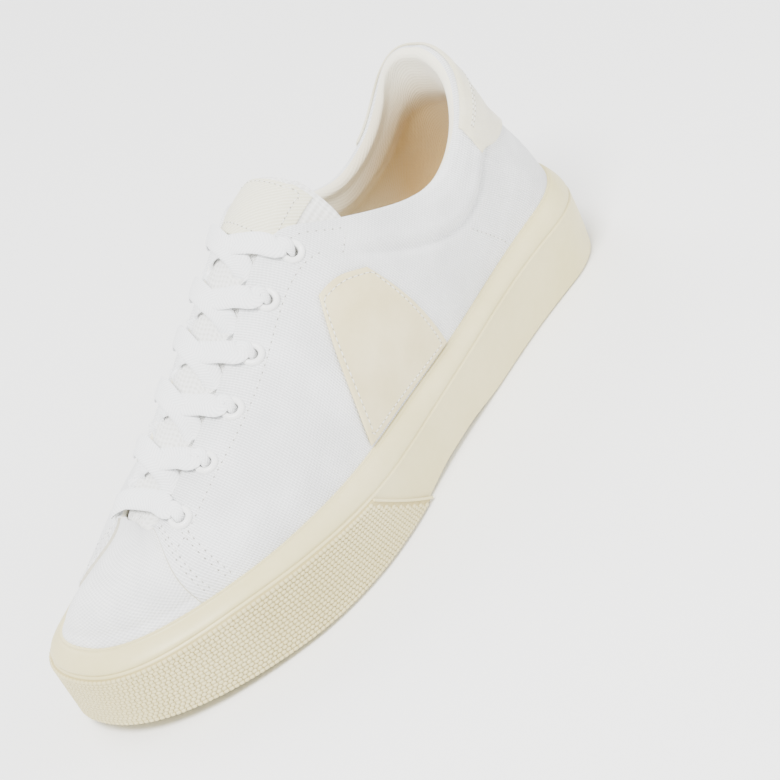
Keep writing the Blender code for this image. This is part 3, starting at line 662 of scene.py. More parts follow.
def make_piece(name, points, faces, materials, uv=None, slots=None, sharp=40.0):
    """A closed mesh with its doubles merged and its faces outwards."""
    mesh = bpy.data.meshes.new(name)
    mesh.from_pydata(np.asarray(points).tolist(), [], faces)
    for material in materials:
        mesh.materials.append(material)
    if slots is not None:
        mesh.polygons.foreach_set("material_index", np.asarray(slots, dtype=np.int32))
    if uv is not None:
        corners = np.empty(len(mesh.loops), dtype=np.int32)
        mesh.loops.foreach_get("vertex_index", corners)
        layer = mesh.uv_layers.new(name="UVMap")
        layer.data.foreach_set("uv", np.asarray(uv)[corners].ravel())
    shape = bmesh.new()
    shape.from_mesh(mesh)
    bmesh.ops.remove_doubles(shape, verts=shape.verts, dist=1e-7)
    bmesh.ops.recalc_face_normals(shape, faces=shape.faces)
    if shape.calc_volume(signed=True) < 0.0:
        bmesh.ops.reverse_faces(shape, faces=shape.faces)
    shape.to_mesh(mesh)
    shape.free()
    mesh.shade_smooth()
    mesh.set_sharp_from_angle(angle=math.radians(sharp))
    return put_in(name, mesh)


def finish_piece(item, slot, *nodes):
    """Ties a piece to the shoe and hides the solids that it stands for."""
    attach(item, "root")
    if nodes:
        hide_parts(*nodes)
    return item


def grid_faces(rows, columns):
    """Four-sided faces between the points of a grid."""
    j, i = np.meshgrid(np.arange(rows - 1), np.arange(columns - 1), indexing="ij")
    a = (j * columns + i).ravel()
    return np.stack([a, a + 1, a + columns + 1, a + columns], axis=-1)


def arcs(grid):
    """Metres along and up a grid, for a pattern that follows the surface."""
    along = np.linalg.norm(np.diff(grid, axis=1), axis=-1).mean(axis=0)
    up = np.linalg.norm(np.diff(grid, axis=0), axis=-1)
    along = np.concatenate([[0.0], np.cumsum(along)])
    up = np.concatenate([np.zeros((1, grid.shape[1])), np.cumsum(up, axis=0)])
    return np.stack([np.broadcast_to(along, up.shape), up], axis=-1)


def normals(grid):
    """Directions out of a grid at its points."""
    across = np.cross(np.gradient(grid, axis=0), np.gradient(grid, axis=1))
    return across / np.maximum(np.linalg.norm(across, axis=-1), 1e-12)[..., None]


def finer(grid, rows, columns):
    """A coarse grid on splines through its points, at places 0 to 1 of both ways."""
    for axis, places in ((0, rows), (1, columns)):
        knots = np.linspace(0.0, 1.0, grid.shape[axis])
        spread = [smooth({"share": knots, "one": row}, "one", places) for row in np.eye(len(knots))]
        grid = np.moveaxis(np.tensordot(np.array(spread).T, grid, axes=(1, axis)), 0, axis)
    return grid


def edged(count, near=0.02):
    """Places 0 to 1, closer together at both ends so that an edge can be rounded."""
    end = near * np.array([0.0, 0.08, 0.2, 0.38, 0.62])
    return np.concatenate([end, np.linspace(near, 1.0 - near, count), 1.0 - end[::-1]])


def border_distance(grid):
    """How far each point of a grid lies from the grid's border."""
    gaps = []
    for axis in (0, 1):
        step = np.linalg.norm(np.diff(grid, axis=axis), axis=-1)
        run = np.cumsum(step, axis=axis)
        zero = np.zeros_like(np.take(run, [0], axis=axis))
        run = np.concatenate([zero, run], axis=axis)
        gaps.append(np.minimum(run, np.take(run, [-1], axis=axis) - run))
    return np.minimum(*gaps)


def rounded_sheet(name, grid, thickness, rounding, material, puff=None):
    """A closed sheet about a grid, its border rounded over and its face puffed."""
    share = np.clip(border_distance(grid) / rounding, 0.0, 1.0)
    half = 0.5 * thickness * np.sqrt(1.0 - (1.0 - share) ** 2)
    across = normals(grid)
    front = grid + across * (half if puff is None else half + puff)[..., None]
    back = grid - across * half[..., None]
    rows, columns = grid.shape[:2]
    quads = grid_faces(rows, columns)
    faces = np.concatenate([quads, quads[:, ::-1] + rows * columns]).tolist()
    points = np.concatenate([front.reshape(-1, 3), back.reshape(-1, 3)])
    uv = np.tile(arcs(grid).reshape(-1, 2), (2, 1))
    return make_piece(name, points, faces, [material], uv=uv)


def rings_piece(name, rings, materials, slots=None):
    """A closed body from rings whose first and last points meet."""
    grid = np.array(rings)
    rows, columns = grid.shape[:2]
    faces = grid_faces(rows, columns).tolist()
    if slots is not None:
        slots = np.asarray(slots).ravel()
    return make_piece(name, grid.reshape(-1, 3), faces, materials, uv=arcs(grid).reshape(-1, 2), slots=slots)


def to_middle(line, shares):
    """Rings that shrink from a closed line onto its middle, to fill it."""
    middle = 0.5 * (line + line[::-1])
    return [line + (middle - line) * share for share in shares]


# ---- repeats, by Geometry Nodes ----

def add(tree, kind, inputs=None, **settings):
    """A node with its settings; each input is a value or another node's output."""
    node = tree.nodes.new(kind)
    for name, value in settings.items():
        setattr(node, name, value)
    for name, value in (inputs or {}).items():
        if isinstance(value, bpy.types.NodeSocket):
            tree.links.new(value, node.inputs[name])
        else:
            node.inputs[name].default_value = value
    return node


def repeat_tree(name, block):
    """Sets one small bead or block on every point, turned to its own two directions."""
    tree = bpy.data.node_groups.new(name, "GeometryNodeTree")
    face = tree.interface
    face.new_socket("Geometry", in_out="INPUT", socket_type="NodeSocketGeometry")
    face.new_socket("Size", in_out="INPUT", socket_type="NodeSocketVector")
    face.new_socket("Finish", in_out="INPUT", socket_type="NodeSocketMaterial")
    face.new_socket("Geometry", in_out="OUTPUT", socket_type="NodeSocketGeometry")
    given = add(tree, "NodeGroupInput").outputs
    if block:
        cube = add(tree, "GeometryNodeMeshCube").outputs["Mesh"]
        form = add(tree, "GeometryNodeSubdivisionSurface", {"Mesh": cube, "Level": 1, "Edge Crease": 0.55})
    else:
        form = add(tree, "GeometryNodeMeshUVSphere", {"Segments": 6, "Rings": 4, "Radius": 0.5})
    form = add(tree, "GeometryNodeTransform", {"Geometry": form.outputs["Mesh"], "Scale": given["Size"]})
    words = {"data_type": "FLOAT_VECTOR"}
    facing = add(tree, "GeometryNodeInputNamedAttribute", {"Name": "facing"}, **words).outputs["Attribute"]
    along = add(tree, "GeometryNodeInputNamedAttribute", {"Name": "along"}, **words).outputs["Attribute"]
    up = add(tree, "FunctionNodeAlignRotationToVector", {"Vector": facing}, axis="Z")
    turn = add(tree, "FunctionNodeAlignRotationToVector",
               {"Rotation": up.outputs["Rotation"], "Vector": along}, axis="X", pivot_axis="Z")
    set_out = add(tree, "GeometryNodeInstanceOnPoints",
                  {"Points": given["Geometry"], "Instance": form.outputs["Geometry"],
                   "Rotation": turn.outputs["Rotation"]})
    real = add(tree, "GeometryNodeRealizeInstances", {"Geometry": set_out.outputs["Instances"]})
    shaded = add(tree, "GeometryNodeSetShadeSmooth", {"Geometry": real.outputs["Geometry"]})
    dressed = add(tree, "GeometryNodeSetMaterial",
                  {"Geometry": shaded.outputs["Geometry"], "Material": given["Finish"]})
    add(tree, "NodeGroupOutput", {"Geometry": dressed.outputs["Geometry"]})
    return tree


BEAD = repeat_tree("beads", False)
BLOCK = repeat_tree("blocks", True)


def repeat(name, tree, places, along, facing, size, material):
    """Equal small forms on points as one plain mesh."""
    cloud = bpy.data.meshes.new(name)
    cloud.from_pydata(np.asarray(places).tolist(), [], [])
    for word, arrows in (("along", along), ("facing", facing)):
        store = cloud.attributes.new(word, "FLOAT_VECTOR", "POINT")
        store.data.foreach_set("vector", np.asarray(arrows, dtype=np.float32).ravel())
    carrier = put_in(name + "_points", cloud)
    setting = carrier.modifiers.new("repeat", "NODES")
    setting.node_group = tree
    keys = {s.name: s.identifier for s in tree.interface.items_tree if s.in_out == "INPUT"}
    setting[keys["Size"]] = size
    setting[keys["Finish"]] = material
    bpy.context.view_layer.update()
    ready = carrier.evaluated_get(bpy.context.evaluated_depsgraph_get())
    mesh = bpy.data.meshes.new_from_object(ready)
    bpy.data.objects.remove(carrier)
    mesh.name = name
    return put_in(name, mesh)


def spaced(points, facing, pitch):
    """Points at an even pitch along a path, with their directions."""
    run = run_along(points)
    count = max(2, int(round(run[-1] / pitch)))
    at = (np.arange(count) + 0.5) * run[-1] / count
    place = np.stack([np.interp(at, run, points[:, k]) for k in range(3)], axis=-1)
    face = np.stack([np.interp(at, run, facing[:, k]) for k in range(3)], axis=-1)
    return place, unit(np.gradient(place, axis=0)), face


def join_rows(rows):
    """Rows of points with their directions as one row."""
    return [np.concatenate(part) for part in zip(*rows)]


# ---- finishes ----

def start_finish(name, colour, roughness, **shader):
    """A material with its surface shader; returns it with its tree and shader."""
    material = bpy.data.materials.new(name)
    material.use_nodes = True
    tree = material.node_tree
    surface = tree.nodes["Principled BSDF"]
    surface.inputs["Base Color"].default_value = linear(colour)
    surface.inputs["Roughness"].default_value = roughness
    for word, value in shader.items():
        surface.inputs[word.replace("_", " ")].default_value = value
    material.diffuse_color = linear(colour)
    return material, tree, surface


def sines(tree, where, pitch, turn=0.0):
    """Even waves, pitch metres apart, running at an angle across the pattern."""
    scale = 2.0 * math.pi / pitch
    laid = add(tree, "ShaderNodeMapping",
               {"Vector": where, "Rotation": (0.0, 0.0, turn), "Scale": (1.0 / scale,) * 3},
               vector_type="TEXTURE")
    split = add(tree, "ShaderNodeSeparateXYZ", {"Vector": laid.outputs["Vector"]})
    return add(tree, "ShaderNodeMath", {0: split.outputs["X"]}, operation="SINE").outputs["Value"]


def maths(tree, operation, first, second=0.0, third=0.0):
    """One step of arithmetic on values of the tree."""
    node = add(tree, "ShaderNodeMath", {0: first, 1: second, 2: third}, operation=operation)
    return node.outputs["Value"]


def noise(tree, where, size, detail=3.0):
    """Soft random shade whose patches are about a size in metres."""
    return add(tree, "ShaderNodeTexNoise",
               {"Vector": where, "Scale": 1.0 / size, "Detail": detail}).outputs["Fac"]


def tint(tree, surface, amount, dark, light):
    """Colour between two hex shades by an amount from 0 to 1."""
    blend = add(tree, "ShaderNodeMix", {0: amount, 6: linear(dark), 7: linear(light)}, data_type="RGBA")
    tree.links.new(blend.outputs[2], surface.inputs["Base Color"])
    return blend.outputs[2]


def relief(tree, surface, height, depth):
    """Bump of a real depth in metres."""
    bump = add(tree, "ShaderNodeBump", {"Height": height, "Distance": depth, "Strength": 1.0})
    tree.links.new(bump.outputs["Normal"], surface.inputs["Normal"])


def uv_map(tree):
    """Metres along and up the piece."""
    return add(tree, "ShaderNodeUVMap", uv_map="UVMap").outputs["UV"]


def object_place(tree):
    """Metres in the part's own frame."""
    return add(tree, "ShaderNodeTexCoord").outputs["Object"]


def range_of(tree, value, low, high):
    """A value spread so that low gives 0 and high gives 1."""
    spread = add(tree, "ShaderNodeMapRange", {"Value": value, "From Min": low, "From Max": high})
    return spread.outputs["Result"]


def woven_cotton_canvas():
    """Plain-woven cotton canvas: threads drawn 0.7 mm apart, as fine as the picture can show."""
    material, tree, surface = start_finish("woven_cotton_canvas", "E9E9E6", 0.92, Sheen_Weight=0.25)
    where = uv_map(tree)
    weave = maths(tree, "MULTIPLY", sines(tree, where, 0.0014), sines(tree, where, 0.0014, math.pi / 2.0))
    shade = maths(tree, "MULTIPLY_ADD", weave, 0.28, noise(tree, object_place(tree), 0.018))
    tint(tree, surface, range_of(tree, shade, 0.2, 0.8), "D2D3D3", "F2F2F1")
    relief(tree, surface, weave, 0.00009)
    return material


def cotton_twill():
    """Twill-woven cotton: fine diagonal ribs 1 mm apart."""
    material, tree, surface = start_finish("cotton_twill", "E8E9E9", 0.92, Sheen_Weight=0.25)
    where = uv_map(tree)
    rib = sines(tree, where, 0.0010, math.radians(-20.0))
    thread = sines(tree, where, 0.0014, math.radians(65.0))
    weave = maths(tree, "MULTIPLY_ADD", thread, 0.35, rib)
    shade = maths(tree, "MULTIPLY_ADD", weave, 0.24, noise(tree, object_place(tree), 0.022))
    tint(tree, surface, range_of(tree, shade, 0.2, 0.8), "D4D5D5", "F4F5F5")
    relief(tree, surface, weave, 0.00010)
    return material


def ribbed_lining():
    """Knitted lining: ribs round the foot 1.4 mm apart, cream at the rim and tan within, the tan being
    painted shade deep below the collar and towards the heel.
    """
    material, tree, surface = start_finish("ribbed_knit_lining", "EFEEE8", 0.95, Sheen_Weight=0.4)
    where = uv_map(tree)
    rib = sines(tree, where, 0.0014, math.pi / 2.0)
    loops = sines(tree, where, 0.0012)
    knit = maths(tree, "MULTIPLY_ADD", loops, 0.4, rib)
    place = add(tree, "ShaderNodeSeparateXYZ", {"Vector": object_place(tree)}).outputs
    # The collar's edge rises towards the heel about 0.42 m in each metre
    collar = maths(tree, "MULTIPLY_ADD", place["X"], 0.42, 0.0487)
    below = range_of(tree, maths(tree, "SUBTRACT", collar, place["Z"]), 0.002, 0.026)
    rearwards = range_of(tree, place["X"], 0.035, 0.115)
    cloud = maths(tree, "MULTIPLY_ADD", noise(tree, object_place(tree), 0.015), 0.15, 0.92)
    # Painted shade: the lining turns tan deeper below the collar's edge and towards the heel, where its
    # inside lies in shade
    painted_heel_shade = maths(tree, "MULTIPLY", maths(tree, "MULTIPLY", below, rearwards), cloud)
    tint(tree, surface, painted_heel_shade, "F1ECD8", "BC9E68")
    relief(tree, surface, knit, 0.00003)
    return material


def knit_mesh():
    """Open knitted mesh of the tongue: small pits in a staggered grid."""
    material, tree, surface = start_finish("knitted_mesh", "EFEFEC", 0.95, Sheen_Weight=0.4)
    where = uv_map(tree)
    pits = maths(tree, "MULTIPLY", sines(tree, where, 0.0026, math.pi / 4.0),
                 sines(tree, where, 0.0026, -math.pi / 4.0))
    tint(tree, surface, range_of(tree, pits, -0.9, 0.4), "DDDCD6", "F1F1EE")
    relief(tree, surface, pits, 0.00018)
    return material


def moulded_rubber(name, dark, light, roughness):
    """Moulded rubber: smooth with a soft gloss, faint clouding and scuffs."""
    material, tree, surface = start_finish(name, light, roughness, IOR=1.52)
    where = object_place(tree)
    cloud = maths(tree, "MULTIPLY_ADD", noise(tree, where, 0.004, 5.0), 0.35, noise(tree, where, 0.03))
    tint(tree, surface, range_of(tree, cloud, 0.35, 0.95), dark, light)
    rough = add(tree, "ShaderNodeMapRange", {"Value": noise(tree, where, 0.006), "To Min": roughness - 0.06,
                                             "To Max": roughness + 0.10})
    tree.links.new(rough.outputs["Result"], surface.inputs["Roughness"])
    relief(tree, surface, noise(tree, where, 0.0012, 4.0), 0.00003)
    return material


def tread_rubber(name, pattern):
    """Gum rubber of the tread's blocks: plain, stippled or finely lined."""
    material, tree, surface = start_finish(name, "C8B280", 0.62, IOR=1.52)
    where = object_place(tree)
    tint(tree, surface, range_of(tree, noise(tree, where, 0.012, 4.0), 0.3, 0.7), "BFA874", "CFBB8C")
    if pattern == "stippled":
        cells = add(tree, "ShaderNodeTexVoronoi", {"Vector": where, "Scale": 1.0 / 0.0011})
        relief(tree, surface, cells.outputs["Distance"], 0.00025)
    elif pattern == "lined":
        relief(tree, surface, sines(tree, where, 0.0011, math.pi / 2.0), 0.00012)
    else:
        relief(tree, surface, noise(tree, where, 0.001), 0.00004)
    return material


def napped_suede():
    """Suede: short nap that scatters light, cloudy where it was brushed."""
    material, tree, surface = start_finish("napped_suede", "DED9C4", 0.97, Sheen_Weight=0.6)
    where = object_place(tree)
    nap = maths(tree, "MULTIPLY_ADD", noise(tree, where, 0.0006, 6.0), 0.6, noise(tree, where, 0.012))
    tint(tree, surface, range_of(tree, nap, 0.45, 1.05), "D2CAA8", "E5DFC6")
    relief(tree, surface, noise(tree, where, 0.0005, 6.0), 0.00012)
    return material


def coated_leather():
    """Coated leather: fine pebble grain under a soft satin finish."""
    material, tree, surface = start_finish("coated_leather", "E2D8B4", 0.52, Coat_Weight=0.15)
    where = object_place(tree)
    grain = add(tree, "ShaderNodeTexVoronoi", {"Vector": where, "Scale": 1.0 / 0.0012})
    tint(tree, surface, range_of(tree, noise(tree, where, 0.014, 4.0), 0.3, 0.7), "D6C896", "E2D6AA")
    relief(tree, surface, grain.outputs["Distance"], 0.00004)
    return material


def woven_label():
    """Label tape: tight cream twill with a slight shine."""
    material, tree, surface = start_finish("woven_label_tape", "EBE9DA", 0.8, Sheen_Weight=0.3)
    where = uv_map(tree)
    rib = sines(tree, where, 0.0012, math.radians(50.0))
    tint(tree, surface, range_of(tree, rib, -1.0, 1.0), "DFDBBE", "EDEAD4")
    relief(tree, surface, rib, 0.00007)
    return material


def flat_lace_cotton():
    """Flat braided cotton lace: a herringbone of two twill bands."""
    material, tree, surface = start_finish("braided_cotton_lace", "F0F0ED", 0.9, Sheen_Weight=0.3)
    where = uv_map(tree)
    split = add(tree, "ShaderNodeSeparateXYZ", {"Vector": where})
    fold = maths(tree, "ABSOLUTE", split.outputs["X"])
    folded = add(tree, "ShaderNodeCombineXYZ", {"X": fold, "Y": split.outputs["Y"]}).outputs["Vector"]
    rib = sines(tree, folded, 0.0010, math.radians(55.0))
    tint(tree, surface, range_of(tree, rib, -1.0, 0.6), "E4E5E6", "F3F4F4")
    relief(tree, surface, rib, 0.00005)
    return material


def plain_finish(name, dark, light, roughness, size, depth, **shader):
    """A finish whose only figure is a soft mottle of a real size."""
    material, tree, surface = start_finish(name, light, roughness, **shader)
    mottle = noise(tree, object_place(tree), size)
    tint(tree, surface, range_of(tree, mottle, 0.3, 0.7), dark, light)
    relief(tree, surface, mottle, depth)
    return material


CANVAS = woven_cotton_canvas()
TWILL = cotton_twill()
LINING = ribbed_lining()
# The cut edge of canvas and its cream backing, seen where a quarter ends, darkened as a painted shadow line
# along the step
RAW_EDGE_AND_SHADOW = plain_finish("raw_canvas_edge_and_painted_shadow", "BDB8A6", "CFCAB8", 0.95, 0.001, 0.00004)
MESH = knit_mesh()
SIDEWALL = moulded_rubber("moulded_rubber_sidewall", "CFC48C", "DACF9E", 0.40)
# The toe band between the studs, darker than the studs as painted shade in the pits
BUMPER_PIT_SHADE = moulded_rubber("moulded_rubber_pits_painted_shade", "B0A068", "BCAD78", 0.6)
BUMPER = moulded_rubber("moulded_rubber_studs", "CBBF8A", "D6CB9A", 0.5)
TREADS = [tread_rubber("gum_rubber_" + word, word) for word in ("stippled", "lined", "plain")]
# The tread plate between the blocks, dark brown as painted shade in the grooves
GROOVE_SHADE = plain_finish("gum_rubber_grooves_painted_shade", "6E5A34", "80693E", 0.7, 0.004, 0.00005)
SUEDE = napped_suede()
LEATHER_FACE = coated_leather()
LABEL_TAPE_FACE = woven_label()
# Glossy injection-moulded acetal
EYELET_WHITE = plain_finish("moulded_acetal", "EDEDEA", "F4F4F2", 0.22, 0.01, 0.00001, IOR=1.48)
LACE = flat_lace_cotton()
# Bonded polyester sewing thread, slightly shiny
THREAD_WHITE = plain_finish("polyester_thread", "E6E5DF", "F2F2EE", 0.6, 0.0006, 0.00004)
# The shadow in a needle hole, between the threads
HOLE_SHADE = plain_finish("needle_hole", "8E8A80", "A09C92", 0.95, 0.001, 0.00002)
FOOTBED = plain_finish("brushed_footbed_fabric", "D6CAA4", "E2D8B8", 0.95, 0.0015, 0.0001, Sheen_Weight=0.3)


# ---- the sole ----

SOLE_COLUMNS = 720


def quarter_turn(count):
    """Shares of a quarter circle: how far across and how far up, count steps."""
    angle = np.linspace(0.0, math.pi / 2.0, count)
    return zip(1.0 - np.sin(angle), 1.0 - np.cos(angle))


def make_cup():
    """Rubber cup: bevelled rim, rounded foot, sidewall with its crease, and foot bed."""
    u = np.linspace(0.0, 1.0, SOLE_COLUMNS + 1)
    share = share_of_length(u)
    base = ground(share)
    crease = crease_height(share)
    top = top_height(share)
    draft = SIDEWALL_DRAFT
    rings = to_middle(ring(u, RIM_WIDTH, base + TREAD_DEPTH), (1.0, 0.5))
    rings += [ring(u, RIM_WIDTH, base + height) for height in (TREAD_DEPTH, 2.0 * RIM_BEVEL, RIM_BEVEL)]
    rings.append(ring(u, RIM_WIDTH - RIM_BEVEL, base))
    rings += [ring(u, inset, base) for inset in (0.7 * RIM_WIDTH, 0.4 * RIM_WIDTH)]
    for across, up in quarter_turn(6):
        rings.append(ring(u, draft + BOTTOM_ROUND * across, base + BOTTOM_ROUND * up))
    low = base + BOTTOM_ROUND
    high = crease - 2.0 * CREASE_DEPTH
    for h in np.linspace(0.0, 1.0, 9)[1:]:
        hollow = SIDEWALL_HOLLOW * math.sin(math.pi * h)
        rings.append(ring(u, draft * (1.0 - h) - hollow, low + (high - low) * h))
    # The crease: insets in metres, heights in crease depths
    for inset, height in ((-0.0001, -1.4), (0.0, -0.8), (0.0003, -0.3), (0.0006, 0.0), (0.0006, 0.4),
                          (0.0004, 0.9)):
        rings.append(ring(u, inset, crease + height * CREASE_DEPTH))
    start = crease + 2.0 * CREASE_DEPTH
    for h in np.linspace(0.0, 1.0, 9):
        lean = (lip(share) - 0.5 * CREASE_DEPTH) * h ** 1.25
        hollow = SIDEWALL_HOLLOW * math.sin(math.pi * h)
        rings.append(ring(u, 0.5 * CREASE_DEPTH + lean - hollow, start + (top - TOP_ROUNDING - start) * h))
    for across, up in quarter_turn(5):
        rings.append(ring(u, lip(share) + TOP_ROUNDING * (1.0 - across), top - TOP_ROUNDING * (1.0 - up)))
    rings += [ring(u, cup_wall(u), top), ring(u, cup_wall(u), top - 0.0008)]
    rings.append(ring(u, cup_wall(u), floor_height(share)))
    rings += to_middle(rings[-1], (0.5, 1.0))
    return finish_piece(rings_piece("rubber_cup", rings, [SIDEWALL]), "sidewall_rubber", "cupsole")


def border_cut(shape, border, inward):
    """What is left of a convex shape on the inner side of the border near it."""
    for corner in list(shape):
        near = np.argmin(np.linalg.norm(border - corner, axis=1))
        kept = []
        for k, point in enumerate(shape):
            after = shape[(k + 1) % len(shape)]
            a = float(np.dot(point - border[near], inward[near]))
            b = float(np.dot(after - border[near], inward[near]))
            if a >= 0.0:
                kept.append(point)
            if a * b < 0.0:
                kept.append(point + (after - point) * a / (a - b))
        shape = kept
        if len(shape) < 3:
            return []
    return shape


def drawn_in(shape, gaps):
    """A convex shape with each side moved in by its own gap."""
    count = len(shape)
    lines = []
    for k in range(count):
        run = shape[(k + 1) % count] - shape[k]
        run = run / np.linalg.norm(run)
        left = np.array([-run[1], run[0]])
        lines.append((shape[k] + left * gaps[k], run))
    corners = []
    for k in range(count):
        (p, a), (q, b) = lines[k - 1], lines[k]
        cross = a[0] * b[1] - a[1] * b[0]
        if abs(cross) < 1e-6:
            corners.append(q)
            continue
        t = ((q - p)[0] * b[1] - (q - p)[1] * b[0]) / cross
        corners.append(p + a * t)
    return corners


def area(shape):
    """Square metres in a flat shape."""
    x, y = np.array(shape).T
    return 0.5 * float(np.sum(x * np.roll(y, -1) - y * np.roll(x, -1)))


def make_tread():
    """Tread plate with its field of tumbling blocks, cut off at the rim."""
    u = np.linspace(0.0, 1.0, SOLE_COLUMNS + 1)
    share = share_of_length(u)
    inset = RIM_WIDTH + GAP
    floor = ground(share) + GROOVE_DEPTH
    rings = to_middle(ring(u, inset, floor), (1.0, 0.75, 0.5, 0.25))
    rings += [ring(u, inset, floor), ring(u, inset, ground(share) + TREAD_DEPTH - GAP)]
    rings += to_middle(rings[-1], (0.5, 1.0))
    plate = rings_piece("tread_plate", rings, [GROOVE_SHADE])
    finish_piece(plate, "tread_rubber", "outsole")
    side = CUBE_PITCH / math.sqrt(3.0)
    border = np.stack(outline(np.linspace(0.0, 1.0, 1200), inset + 0.0004), axis=-1)
    step = np.roll(border, -1, axis=0) - border
    inward = np.stack([-step[:, 1], step[:, 0]], axis=-1)
    inward /= np.maximum(np.linalg.norm(inward, axis=1), 1e-12)[:, None]
    if np.dot(inward[300], -border[300]) < 0.0:
        inward = -inward
    angles = np.radians([30.0, 90.0, 150.0, 210.0, 270.0, 330.0])
    spokes = side * np.stack([np.cos(angles), np.sin(angles)], axis=-1)
    # Each rhombus of a cube by the ends of its spokes, with the gaps at its four sides
    kinds = (((0, 1, 2), (FINE_GROOVE, WIDE_GROOVE, WIDE_GROOVE, FINE_GROOVE)),
             ((2, 3, 4), (FINE_GROOVE, MIDDLE_GROOVE, WIDE_GROOVE, FINE_GROOVE)),
             ((4, 5, 0), (FINE_GROOVE, WIDE_GROOVE, MIDDLE_GROOVE, FINE_GROOVE)))
    points = []
    faces = []
    slots = []
    half_rows = int(0.6 * BALL_WIDTH / (1.5 * side)) + 1
    half_columns = int(0.5 * LENGTH / CUBE_PITCH) + 2
    for row in range(-half_rows, half_rows + 1):
        for column in range(-half_columns, half_columns + 1):
            centre = np.array([(column + 0.5 * (row % 2)) * CUBE_PITCH, 1.5 * row * side])
            for kind, (ends, gaps) in enumerate(kinds):
                whole = [centre] + [centre + spokes[end] for end in ends]
                shape = border_cut(drawn_in(whole, gaps), border, inward)
                if len(shape) < 3 or area(shape) < SMALLEST_BLOCK:
                    continue
                crown = drawn_in(shape, [BLOCK_BEVEL] * len(shape))
                count = len(shape)
                start = len(points)
                for loop, height in ((shape, GROOVE_DEPTH + BLOCK_SINK), (shape, BLOCK_BEVEL_HEIGHT),
                                     (crown, 0.0)):
                    for x, y in loop:
                        points.append((x, y, ground(0.5 - x / LENGTH) + height))
                for level in (0, count):
                    for k in range(count):
                        m = (k + 1) % count
                        a, b = start + level + k, start + level + m
                        faces.append((a, b, b + count, a + count))
                        slots.append(kind)
                faces.append(tuple(start + k for k in range(count)))
                faces.append(tuple(start + 2 * count + k for k in range(count)))
                slots += [kind, kind]
    blocks = make_piece("tread_blocks", points, faces, TREADS, slots=slots, sharp=20.0)
    finish_piece(blocks, "tread_rubber", "outsole")


def bumper_height(u, h):
    """Height on the bumper, from its lower edge (h 0) to its upper edge (h 1)."""
    share = share_of_length(u)
    low = ground(share) + 0.5 * BOTTOM_ROUND
    return low + (crease_height(share) - CREASE_DEPTH - GAP - low) * h


def band_end(h):
    """Where the toe band begins along the half outline, from its lower to its upper edge."""
    return BUMPER_LOW_SHARE + (BUMPER_HIGH_SHARE - BUMPER_LOW_SHARE) * h


def make_bumper():
    """The proud toe band and its lattice of small rounded studs."""
    heights = edged(24, 0.06)
    grid = []
    for h in heights:
        start = 0.5 * band_end(h)
        u = start + (1.0 - 2.0 * start) * edged(360, 0.01)
        grid.append(ring(u, SIDEWALL_DRAFT * (1.0 - h) - BAND_MIDDLE, bumper_height(u, h)))
    thickness = 2.0 * (BUMPER_THICKNESS - BAND_LOW)
    band = rounded_sheet("toe_band", np.array(grid), thickness, BAND_ROUNDING, BUMPER_PIT_SHADE)
    finish_piece(band, "bumper_rubber", "toe_bumper")
    rows = []
    count = int(round(CREASE_HEIGHT / STUD_ROW_PITCH))
    for number, h in enumerate(np.linspace(0.04, 0.965, count)):
        start = 0.5 * band_end(h) + 0.003
        u = np.linspace(start, 1.0 - start, 900)
        path = ring(u, SIDEWALL_DRAFT * (1.0 - h) - BUMPER_THICKNESS + STUD_SINK, bumper_height(u, h))
        place, along, face = spaced(path, outward(u), STUD_PITCH)
        if number % 2:
            place = 0.5 * (place[1:] + place[:-1])
            along = along[1:]
            face = face[1:]
        rows.append((place, along, face))
    size = (0.98 * STUD_PITCH, 0.98 * STUD_ROW_PITCH, 2.0 * STUD_HEIGHT)
    studs = repeat("toe_studs", BLOCK, *join_rows(rows), size, BUMPER)
    finish_piece(studs, "bumper_rubber", "toe_bumper")
    # The thin raised lines down the band's rear ends
    h = np.linspace(0.0, 1.0, 40)
    for number, side in ((1, -1), (2, 1)):
        u = round_foot(side, band_end(h))
        path = ring(u, SIDEWALL_DRAFT * (1.0 - h) - 0.9 * BUMPER_THICKNESS, bumper_height(u, h))
        cord = ribbon("toe_band_edge_" + str(number), path, outward(u), BAND_CORD, BAND_CORD, SIDEWALL)
        finish_piece(cord, "bumper_rubber", "toe_bumper")


def ribbon(name, path, side, width, thickness, material):
    """A closed rounded band along a path, its width laid along the side direction."""
    tangent = unit(np.gradient(path, axis=0))
    side = unit(side - tangent * np.sum(side * tangent, axis=1)[:, None])
    face = np.cross(side, tangent)
    angle = np.linspace(0.0, 2.0 * math.pi, 15)
    across = np.sign(np.cos(angle)) * np.abs(np.cos(angle)) ** 0.75
    through = np.sign(np.sin(angle)) * np.abs(np.sin(angle)) ** 0.75
    width = np.broadcast_to(width, len(path))
    thickness = np.broadcast_to(thickness, len(path))
    grid = path[:, None] + 0.5 * (across[None, :, None] * (width[:, None] * side)[:, None]
                                  + through[None, :, None] * (thickness[:, None] * face)[:, None])
    run = run_along(path)
    uv = np.stack([np.broadcast_to(0.5 * across * width.mean(), grid.shape[:2]),
                   np.broadcast_to(run[:, None], grid.shape[:2])], axis=-1)
    ends = np.stack([path[0], path[-1]])
    points = np.concatenate([grid.reshape(-1, 3), ends])
    uv = np.concatenate([uv.reshape(-1, 2), [[0.0, 0.0], [0.0, run[-1]]]])
    rows, columns = grid.shape[:2]
    faces = grid_faces(rows, columns).tolist()
    for centre, row in ((rows * columns, 0), (rows * columns + 1, rows - 1)):
        for k in range(columns - 1):
            a, b = row * columns + k, row * columns + k + 1
            faces.append((a, centre, b) if row == 0 else (a, b, centre))
    return make_piece(name, points, faces, [material], uv=uv, sharp=60.0)


# ---- the upper ----

# Metres once round the foot, at the wall's foot
PERIMETER = run_along(ring(np.linspace(0.0, 1.0, 400), 0.006, 0.03))[-1]


